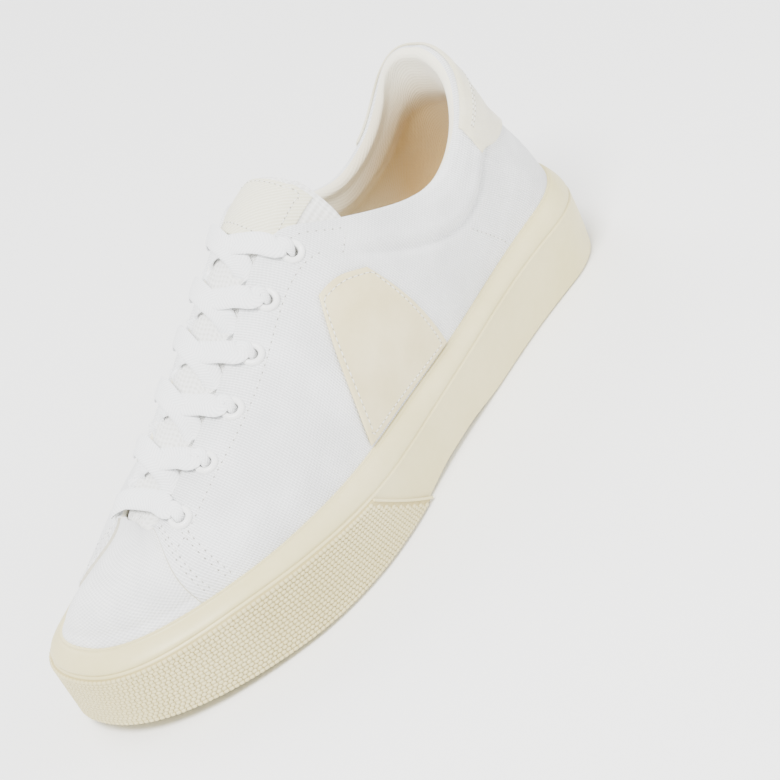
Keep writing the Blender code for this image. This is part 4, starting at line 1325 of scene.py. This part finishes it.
def seam_place(v, side):
    """Place of the quarter's front edge round the foot at heights v."""
    if side < 0:
        return smooth(SEAM, "lateral", v, key="height") / 2.0
    return 1.0 - smooth(SEAM, "medial", v, key="height") / 2.0


# Degrees over the collar's rounded edge, 0 outside to 180 inside: the wall's rings and the tab's
RIM_ANGLES = (12, 28, 44, 60, 76, 92, 110, 130, 150, 168)
TAB_ANGLES = (12.0, 24.0, 36.0, 46.0, 52.0, 55.0)

# Creases worn in by the foot: place along the half outline, height on the wall, spread of each,
# depth in metres, side
CREASES = ((0.60, 0.50, 0.020, 0.30, 0.0005, -1),
           (0.66, 0.55, 0.025, 0.30, 0.0005, 1),
           (0.86, 0.62, 0.014, 0.25, 0.0004, -1),
           (0.84, 0.60, 0.014, 0.25, 0.0004, 1))

# The trough under the collar: height on the wall by place along the half outline
TROUGH = table("share height",
               (0.20, 0.77),
               (0.24, 0.71),
               (0.28, 0.64),
               (0.31, 0.61),
               (0.35, 0.63),
               (0.40, 0.68),
               (0.45, 0.75),
               (0.50, 0.82))


def hand_creases(u, v):
    """Soft troughs and ridges worn in by the foot, in metres out of the wall."""
    s, side = halves(u)
    depth = np.zeros(np.broadcast(u, v).shape)
    for at, high, wide, tall, deep, which in CREASES:
        bell = np.exp(-((s - at) / wide) ** 2 - ((v - high) / tall) ** 2)
        depth = depth - deep * bell * (side == which)
    # The long trough under the padded collar, from the heel tab's corner forwards to the top eyelet
    line = np.interp(s, TROUGH["share"], TROUGH["height"])
    along = ramp(s, 0.17, 0.25) * (1.0 - ramp(s, 0.43, 0.50))
    depth = depth - 0.0015 * along * np.exp(-((v - line) / 0.040) ** 2)
    depth = depth + 0.0006 * along * np.exp(-((v - line - 0.11) / 0.05) ** 2)
    ripple = 0.00012 * np.sin(61.0 * s + 9.0 * v) * np.sin(17.0 * v + 23.0 * s)
    return depth + ripple


def upper_columns(v):
    """Places round the foot at a height, gathered at each quarter's front edge and stitches."""
    near = np.array([-15.0, -14.5, -14.0, -13.0, -12.5, -12.0, -10.0, -8.0, -6.5, -6.0, -5.5, -4.5, -4.0,
                     -3.5, -2.5, -1.7, -1.1, -0.6, -0.3, 0.0, 0.3, 0.5, 0.8, 1.2, 2.0]) / 1000.0
    near = near / PERIMETER
    lateral = float(seam_place(v, -1))
    medial = float(seam_place(v, 1))
    rear_lateral = np.linspace(0.0, lateral + near[0], 260)[:-1]
    front = np.linspace(lateral + near[-1], medial - near[-1], 150)[1:-1]
    rear_medial = np.linspace(medial - near[0], 1.0, 260)[1:]
    return np.concatenate([rear_lateral, lateral + near, front, medial - near[::-1], rear_medial])


def seam_gap(u, v):
    """How far a place lies in front of the quarter's edge, on the vamp; negative behind it."""
    gap = np.minimum(u - seam_place(v, -1), seam_place(v, 1) - u) * PERIMETER
    return np.where(np.abs(u - 0.5) < 0.35, gap, -1.0)


def upper_face(u, v):
    """How far the outer face lies out of the bare wall: vamp sunk, seams and creases."""
    gap = seam_gap(u, v)
    out = -1.35 * QUARTER_STEP * ramp(gap, -0.0002, 0.0004)
    # The quarter's folded edge stands up a little, and each row of stitches is drawn in
    out = out + 0.00035 * np.exp(-((gap + 0.0011) / 0.0009) ** 2)
    for row in FRONT_ROWS:
        out = out - 0.00018 * np.exp(-((gap + row) / 0.00045) ** 2)
    # The foot of the wall presses against the rubber
    pressed = 1.0 - ramp(v, 0.0, 0.08)
    return (out + hand_creases(u, v)) * (1.0 - pressed) + GAP * pressed


def make_upper_shell():
    """Vamp, quarters, padded collar and lining as one hollow wall with its holes."""
    heights = np.linspace(0.0, 1.0, 74) ** 0.8
    outer = []
    inner = []
    for number, v in enumerate(heights):
        u = upper_columns(v)
        outer.append(skin(u, np.full_like(u, v), upper_face(u, np.full_like(u, v))))
        if number % 2 == 0 or v == heights[-1]:
            inner.append(inner_skin(u, v))
    u = upper_columns(0.0)
    share = share_of_length(u)
    bed = floor_height(share) + GAP
    skirt_out = [ring(u, cup_wall(u), height) for height in (bed, 0.5 * (bed + top_height(share)))]
    skirt_in = [ring(u, cup_wall(u) + GAP + WALL, bed)]
    rise = rising(upper_columns(1.0))
    rim = [roll(outer[-1], inner[-1], rise, angle) for angle in RIM_ANGLES]
    rings = skirt_out + outer + rim + inner[::-1] + skirt_in + [skirt_out[0]]
    # Vamp 0, quarters 1, lining 2 and the quarters' cut edge with its painted shadow 3; the lining begins on
    # the rim
    slots = np.full((len(rings) - 1, len(u) - 1), 2)
    outer_rows = len(skirt_out) + len(outer) + 5
    gap = seam_gap(0.5 * (u[1:] + u[:-1]), 0.0)
    slots[:outer_rows] = np.where(gap > 0.0004, 0, np.where(gap > -0.0001, 3, 1))
    shell = rings_piece("upper_shell", rings, [CANVAS, TWILL, LINING, RAW_EDGE_AND_SHADOW], slots)
    cut_eyelet_holes(shell)
    return finish_piece(shell, "canvas", "upper")


def cut_eyelet_holes(shell):
    """Cuts the eyelets' holes through the wall with one cutter of round pins."""
    points = []
    faces = []
    sides = 24
    for side, s in EYELETS:
        start = len(points)
        for height in (-3.0 * WALL, 2.0 * WALL):
            points.extend(turned(*eyelet_frame(side, s), EYELET_HOLE + HOLE_PLAY, height, sides))
        faces.append(tuple(start + i for i in range(sides)))
        faces.append(tuple(start + sides + i for i in reversed(range(sides))))
        faces += [(start + (i + 1) % sides, start + i, start + sides + i, start + sides + (i + 1) % sides)
                  for i in range(sides)]
    cutter = make_piece("hole_cutter", points, faces, [LINING])
    cut = shell.modifiers.new("holes", "BOOLEAN")
    cut.operation = "DIFFERENCE"
    cut.solver = "MANIFOLD"
    cut.object = cutter
    ready = shell.evaluated_get(bpy.context.evaluated_depsgraph_get())
    mesh = bpy.data.meshes.new_from_object(ready)
    shell.modifiers.remove(cut)
    shell.data = mesh
    bpy.data.objects.remove(cutter)


def wall_path(u, v, out=0.0):
    """A path on the wall with its directions out of it."""
    return skin(u, v, upper_face(u, v) + out), skin_normal(u, v)


def sew(name, paths, slot="canvas", pitch=STITCH_PITCH):
    """Stitches along paths, each a bead of thread between two needle holes."""
    rows = [spaced(points, facing, pitch) for points, facing in paths]
    stitch = (STITCH_LENGTH * pitch / STITCH_PITCH, THREAD, THREAD * 1.3)
    finish_piece(repeat(name, BEAD, *join_rows(rows), stitch, THREAD_WHITE), slot)
    holes = [(place + along * 0.5 * pitch, along, face) for place, along, face in rows]
    hole = (NEEDLE_HOLE, 0.7 * NEEDLE_HOLE, NEEDLE_HOLE_DEPTH)
    finish_piece(repeat(name + "_holes", BEAD, *join_rows(holes), hole, HOLE_SHADE), slot)


def make_upper_stitches():
    """Rows behind the quarters' front edges and outside the eyelets."""
    paths = []
    for side in (-1, 1):
        for row in FRONT_ROWS:
            v = np.linspace(0.02, 0.93, 120)
            u = seam_place(v, side) + side * row / PERIMETER
            paths.append(wall_path(u, v))
        s = np.linspace(0.80, 0.50, 40)
        u = round_foot(side, s)
        v = np.array([down_the_wall(place, THROAT_ROW) for place in u])
        paths.append(wall_path(u, v))
        # A reinforcement's stitches along the top corner and down behind the top eyelet
        s = np.linspace(0.515, 0.455, 24)
        u = round_foot(side, s)
        v = np.array([down_the_wall(place, CORNER_ROW) for place in u])
        paths.append(wall_path(u, v))
        s = np.linspace(0.455, 0.475, 16)
        u = round_foot(side, s)
        v = np.linspace(v[-1] - 0.03, 0.80, 16)
        paths.append(wall_path(u, v))
        # The heel stiffener's stitches, down from the collar's trough
        v = np.linspace(0.56, 0.02, 50)
        s = 0.288 + 0.068 * v
        u = round_foot(side, s)
        paths.append(wall_path(u, v))
    sew("upper_stitches", paths)


def make_footbed():
    """The removable footbed, dished, with a rounded edge."""
    u = np.linspace(0.0, 1.0, 361)
    share = share_of_length(u)
    inset = cup_wall(u) + GAP + WALL + GAP
    bed = floor_height(share) + GAP
    rings = to_middle(ring(u, inset, bed), (1.0, 0.5))
    rings.append(ring(u, inset, bed))
    rounding = FOOTBED_ROUNDING
    top = bed + INSOLE_THICKNESS
    for across, up in quarter_turn(5):
        rings.append(ring(u, inset + rounding * (1.0 - across), top - rounding * (1.0 - up)))
    for h in np.linspace(0.2, 1.0, 5):
        drop = (1.0 - INSOLE_DISH_SHARE) * INSOLE_THICKNESS * ramp(h, 0.0, 1.0)
        rings.append(ring(u, inset + rounding + (INSOLE_SLOPE_WIDTH - rounding) * h, top - drop))
    rings += to_middle(rings[-1], (0.25, 0.5, 0.75, 1.0))
    return finish_piece(rings_piece("footbed", rings, [FOOTBED]), "footbed_fabric", "insole")


def make_padded_tongue():
    """The tongue: knitted mesh over foam, its border rolled over."""
    coarse = tongue_face(WALL + GAP + 0.5 * TONGUE_THICKNESS)
    grid = finer(coarse, edged(110, 0.02), edged(84, 0.025))
    gap = border_distance(grid)
    # Foam swells the middle, and a sewn channel runs 5.5 mm inside the border
    puff = 0.0005 * ramp(gap, 0.001, 0.006) - 0.0004 * np.exp(-((gap - 0.0055) / 0.0006) ** 2)
    tongue = rounded_sheet("padded_tongue", grid, TONGUE_THICKNESS, TONGUE_ROUNDING, MESH, puff=puff)
    finish_piece(tongue, "canvas", "tongue")


def grid_border(grid, inset):
    """A closed path at an inset inside a grid's border, as row and column shares."""
    rows, columns = grid.shape[:2]
    up = np.linalg.norm(np.diff(grid[:, columns // 2], axis=0), axis=-1).sum()
    along = np.linalg.norm(np.diff(grid[rows // 2], axis=0), axis=-1).sum()
    a = inset / up
    b = inset / along
    corners = [(a, b), (a, 1.0 - b), (1.0 - a, 1.0 - b), (1.0 - a, b), (a, b)]
    places = [np.linspace(corners[k], corners[k + 1], 60)[:-1] for k in range(4)]
    return np.concatenate(places)


def on_grid(grid, places, out):
    """Points over a grid at row and column shares, and the normals there."""
    across = normals(grid)
    rows = places[:, 0] * (grid.shape[0] - 1)
    columns = places[:, 1] * (grid.shape[1] - 1)
    j = np.clip(rows.astype(int), 0, grid.shape[0] - 2)
    i = np.clip(columns.astype(int), 0, grid.shape[1] - 2)
    a = (rows - j)[:, None]
    b = (columns - i)[:, None]

    def blend(values):
        low = values[j, i] * (1 - b) + values[j, i + 1] * b
        high = values[j + 1, i] * (1 - b) + values[j + 1, i + 1] * b
        return low * (1 - a) + high * a

    face = blend(across)
    return blend(grid) + face * out, face


def make_label():
    """The plain woven label over the tongue's top, stitched round its border."""
    base = finer(tongue_face(WALL + GAP), np.linspace(0.62, 0.965, 60), np.linspace(0.125, 0.875, 60))
    base = base + normals(base) * (LABEL_SEAT + 0.5 * LABEL_TAPE_THICKNESS)
    even = np.linspace(0.0, 1.0, 60)
    at = edged(50, 0.02)
    grid = base
    for _ in range(2):
        grid = np.stack([np.stack([np.interp(at, even, line[:, k]) for k in range(3)], axis=-1)
                         for line in grid.transpose(1, 0, 2)])
    label = rounded_sheet("tongue_tape", grid, LABEL_TAPE_THICKNESS, LABEL_ROUNDING, LABEL_TAPE_FACE)
    finish_piece(label, "label_fabric", "tongue_label")
    path = on_grid(base, grid_border(base, LABEL_ROW), 0.5 * LABEL_TAPE_THICKNESS)
    sew("label_stitches", [path], slot="label_fabric", pitch=TAPE_STITCH_PITCH)


def make_suede_tab():
    """The suede tab over the heel, lapped over the collar's roll."""
    last = HEEL_TAB["share"][-1]
    places = last * (2.0 * edged(80, 0.012) - 1.0)
    u = np.mod(places / 2.0, 1.0)
    low = smooth(HEEL_TAB, "low", np.abs(places), flat=True)
    out = SUEDE_SEAT + 0.5 * LEATHER
    grid = []
    for h in np.concatenate([edged(40, 0.03)[:-5], [1.0]]):
        grid.append(skin(u, low + (1.0 - low) * h, out))
    for angle in TAB_ANGLES:
        grid.append(roll(skin(u, 1.0), inner_skin(u, 1.0), rising(u), angle, out))
    tab = rounded_sheet("suede_tab", np.array(grid), LEATHER, SUEDE_ROUNDING, SUEDE)
    finish_piece(tab, "suede", "heel_tab")
    rows = []
    line = np.linspace(-0.93 * last, 0.93 * last, 140)
    place = np.mod(line / 2.0, 1.0)
    base = smooth(HEEL_TAB, "low", np.abs(line), flat=True)
    for h in (0.80, 0.86):
        v = base + (1.0 - base) * h
        rows.append((skin(place, v, SUEDE_SEAT + LEATHER), skin_normal(place, v)))
    sew("heel_tab_stitches", rows, slot="suede", pitch=TAPE_STITCH_PITCH)


def make_leather_panel(word, side):
    """A plain stitched leather panel on the quarter, rising from the sidewall."""
    low = SIDE_PANEL["height"][0]
    heights = low + (SIDE_PANEL["height"][-1] - low) * edged(46, 0.03)
    front = smooth(SIDE_PANEL, "front", heights, key="height")
    rear = smooth(SIDE_PANEL, "rear", heights, key="height")
    places = rear + (front - rear) * edged(34, 0.03)[:, None]
    u = round_foot(side, places)
    v = np.broadcast_to(heights, places.shape)
    grid = skin(u.T, v.T, PANEL_SEAT + 0.5 * LEATHER)
    if side > 0:
        grid = grid[:, ::-1]
    panel = rounded_sheet("leather_panel_" + word, grid, LEATHER, PANEL_ROUNDING, LEATHER_FACE)
    finish_piece(panel, "panel_leather", "side_panel_" + word)
    even = np.linspace(0.0, 1.0, 60)
    base = finer(grid[5:-5, 5:-5], even, even)
    path = on_grid(base, grid_border(base, PANEL_ROW), 0.5 * LEATHER)
    sew("panel_stitches_" + word, [path], slot="panel_leather", pitch=PANEL_STITCH_PITCH)


# ---- eyelets and lace ----

def make_eyelet_ring(name, side, s):
    """A glossy eyelet: rounded flange on the canvas and a barrel through the wall."""
    barrel = EYELET_HOLE + BARREL_WALL
    middle = 0.5 * (EYELET_HOLE + EYELET_RADIUS)
    reach = EYELET_RADIUS - middle
    profile = [(EYELET_HOLE, -WALL), (EYELET_HOLE, -0.2 * WALL)]
    for angle in np.linspace(math.pi, 0.0, 12):
        profile.append((middle + reach * math.cos(angle), FLANGE_SEAT + FLANGE_HEIGHT * math.sin(angle)))
    profile += [(EYELET_RADIUS, -FLANGE_SINK), (barrel, -FLANGE_SINK), (barrel, -WALL), (EYELET_HOLE, -WALL)]
    place = eyelet_frame(side, s)
    rings = []
    for radius, height in profile:
        loop = turned(*place, radius, height, 40)
        rings.append(np.concatenate([loop, loop[:1]]))
    item = rings_piece(name, rings, [EYELET_WHITE])
    return finish_piece(item, "eyelet_plastic", name.replace("ring", "eyelet"))


def strand_up(number, side):
    """Stops of a strand from an eyelet's underside up across to the next row's other eyelet.

    A stop is a point, the direction that the lace's face looks in, and a share of its width.
    """
    lift = LACE_THICKNESS - LACE_PRESS if side < 0 else 0.0
    down = crossing_stops(-side, ROWS[number + 1], ROWS[number], lift)
    stops = []
    u = round_foot(side, ROWS[number])
    depth = -WALL - 0.5 * LACE_THICKNESS
    for distance in (0.75 * EYELET_INSET, 0.30 * EYELET_INSET):
        v = down_the_wall(u, distance)
        stops.append((skin(u, v, depth), -skin_normal(np.array(u), np.array(v)), 0.8))
    for point, facing in down[:2:-1]:
        stops.append((point, facing, 1.0))
    stops.append((*down[2], 1.0))
    stops.append((*down[1], 0.92))
    return stops


def through_eyelet(side, s):
    """Stops over an eyelet's flange and down through its hole."""
    frame = eyelet_frame(side, s)
    centre = frame[0]
    normal = frame[3]
    u, v = eyelet_spot(side, s)
    to_edge = unit(skin(u, min(v + 0.02, 1.0)) - skin(u, v))
    thick = 0.5 * LACE_THICKNESS
    return [(centre + to_edge * 0.0032 + normal * (0.0014 + thick), normal, 0.72),
            (centre + to_edge * 0.0008 + normal * 0.0012, None, 0.5),
            (centre - to_edge * 0.0002 - normal * (0.5 * WALL), None, 0.45),
            (centre + to_edge * 0.0010 - normal * (WALL + thick + 0.0006), None, 0.5)]


def lace_stops(first):
    """Stops from the bar's end down its eyelet and up through every row."""
    stops = []
    side = first
    for number in range(EYELET_ROWS):
        stops += through_eyelet(side, ROWS[number])
        if number + 1 < EYELET_ROWS:
            stops += strand_up(number, side)
            side = -side
    return stops


def make_lace():
    """One flat lace: the lowest bar and both ends up through every eyelet."""
    bar = [(*over_wall(-1, ROWS[0] + 0.008 * (1.0 - share), EYELET_INSET * share), 1.0 - 0.3 * share)
           for share in (0.45, 0.0)]
    # The bar slants a little towards the toe on its way to the medial eyelet: share of the way
    # across, slant along the half outline and height over the throat in metres
    for t, slant, height in ((0.3, 0.013, 0.0010), (0.5, 0.018, 0.0008), (0.7, 0.021, 0.0010)):
        bar.append((*arch(ROWS[0] + slant, t, height), 1.0))
    bar += [(*over_wall(1, ROWS[0] + 0.024 * (1.0 - share), EYELET_INSET * share), 1.0 - 0.3 * share)
            for share in (0.0, 0.45)]
    stops = lace_stops(-1)[::-1] + bar + lace_stops(1)
    points = np.array([stop[0] for stop in stops])
    run = run_along(points)
    tangent = np.gradient(points, run, axis=0)
    sides = np.full((len(stops), 3), np.nan)
    for k, stop in enumerate(stops):
        if stop[1] is not None:
            sides[k] = unit(np.cross(stop[1], tangent[k]))
    for axis in range(3):
        known = ~np.isnan(sides[:, axis])
        sides[:, axis] = np.interp(run, run[known], sides[known, axis])
    at = np.arange(0.0, run[-1], LACE_STEP)
    path = np.stack([smooth({"share": run, "p": points[:, k]}, "p", at) for k in range(3)], axis=-1)
    side = np.stack([np.interp(at, run, sides[:, k]) for k in range(3)], axis=-1)
    width = np.interp(at, run, [stop[2] for stop in stops]) * LACE_WIDTH
    # Where the lace is squeezed narrower it is thicker
    thick = LACE_THICKNESS * (1.0 + 0.5 * (1.0 - width / LACE_WIDTH))
    lace = ribbon("flat_lace", path, side, width, thick, LACE)
    names = ["lace_bar"] + ["lace_cross_" + str(number) for number in range(1, EYELET_ROWS)]
    return finish_piece(lace, "lace_fabric", *names)


# ---- the view ----

# The photograph's view, as fitted to the shoe's outline: azimuth, elevation and roll in degrees,
# the place looked at and how far off, and the focal length in widths of a pixel
VIEW_ANGLES = (-40.0, 29.56, -27.68)
VIEW_TARGET = (0.01837, -0.01651 - CENTRE_Y, 0.020)
VIEW_DISTANCE = 1.0778
FOCAL_PIXELS = 2906.0
PICTURE_PIXELS = 780.0
SENSOR_WIDTH = 36.0


def make_camera():
    """The photograph's view: from the lateral front, above, and rolled."""
    azimuth, elevation, roll_angle = (math.radians(a) for a in VIEW_ANGLES)
    target = Vector(VIEW_TARGET)
    back = Vector((math.sin(azimuth) * math.cos(elevation), -math.cos(azimuth) * math.cos(elevation),
                   math.sin(elevation)))
    right = (-back).cross(Vector((0.0, 0.0, 1.0))).normalized()
    above = right.cross(-back)
    turned_right = math.cos(roll_angle) * right + math.sin(roll_angle) * above
    turned_above = -math.sin(roll_angle) * right + math.cos(roll_angle) * above
    data = bpy.data.cameras.new("camera")
    data.sensor_width = SENSOR_WIDTH
    data.lens = FOCAL_PIXELS * SENSOR_WIDTH / PICTURE_PIXELS
    data.clip_start = 0.05
    data.clip_end = 20.0
    camera = put_in("camera", data)
    pose = Matrix((turned_right, turned_above, back)).transposed().to_4x4()
    pose.translation = target + back * VIEW_DISTANCE
    camera.matrix_world = pose
    bpy.context.scene.camera = camera


def make_light(name, place, size, power):
    """A soft box that looks at the shoe."""
    data = bpy.data.lights.new(name, "AREA")
    data.shape = "SQUARE"
    data.size = size
    data.energy = power
    lamp = put_in(name, data)
    lamp.location = place
    lamp.rotation_euler = (-Vector(place)).to_track_quat("-Z", "Y").to_euler()


def make_studio():
    """Plain pale floor, an even pale sky and three soft boxes."""
    corners = [(-4.0, -4.0, 0.0), (4.0, -4.0, 0.0), (4.0, 4.0, 0.0), (-4.0, 4.0, 0.0)]
    mesh = bpy.data.meshes.new("floor")
    mesh.from_pydata(corners, [], [(0, 1, 2, 3)])
    mesh.materials.append(plain_finish("matte_floor", "F4F4F3", "F8F8F7", 0.9, 0.5, 0.00001))
    floor = put_in("floor", mesh)
    world = bpy.data.worlds.new("studio")
    world.use_nodes = True
    sky = world.node_tree.nodes["Background"]
    sky.inputs["Color"].default_value = linear("F8F8F8")
    sky.inputs["Strength"].default_value = 1.45
    bpy.context.scene.world = world
    for name, place, size, power in (("key", (-0.9, -0.5, 1.7), 0.8, 95.0),
                                     ("fill", (1.1, -1.2, 0.9), 1.0, 22.0),
                                     ("back", (0.3, 1.4, 1.3), 1.0, 24.0)):
        make_light(name, place, size, power)


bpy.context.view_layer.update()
ROWS = eyelet_places()
EYELETS = [(side, row) for row in ROWS for side in (-1, 1)]

make_camera()
make_studio()
make_cup()
make_tread()
make_bumper()
make_upper_shell()
make_upper_stitches()
make_footbed()
make_padded_tongue()
make_label()
make_suede_tab()
make_leather_panel("lateral", -1)
make_leather_panel("medial", 1)
for number, row in enumerate(ROWS, start=1):
    for side, word in ((-1, "lateral"), (1, "medial")):
        make_eyelet_ring(f"ring_{word}_{number}", side, row)
make_lace()
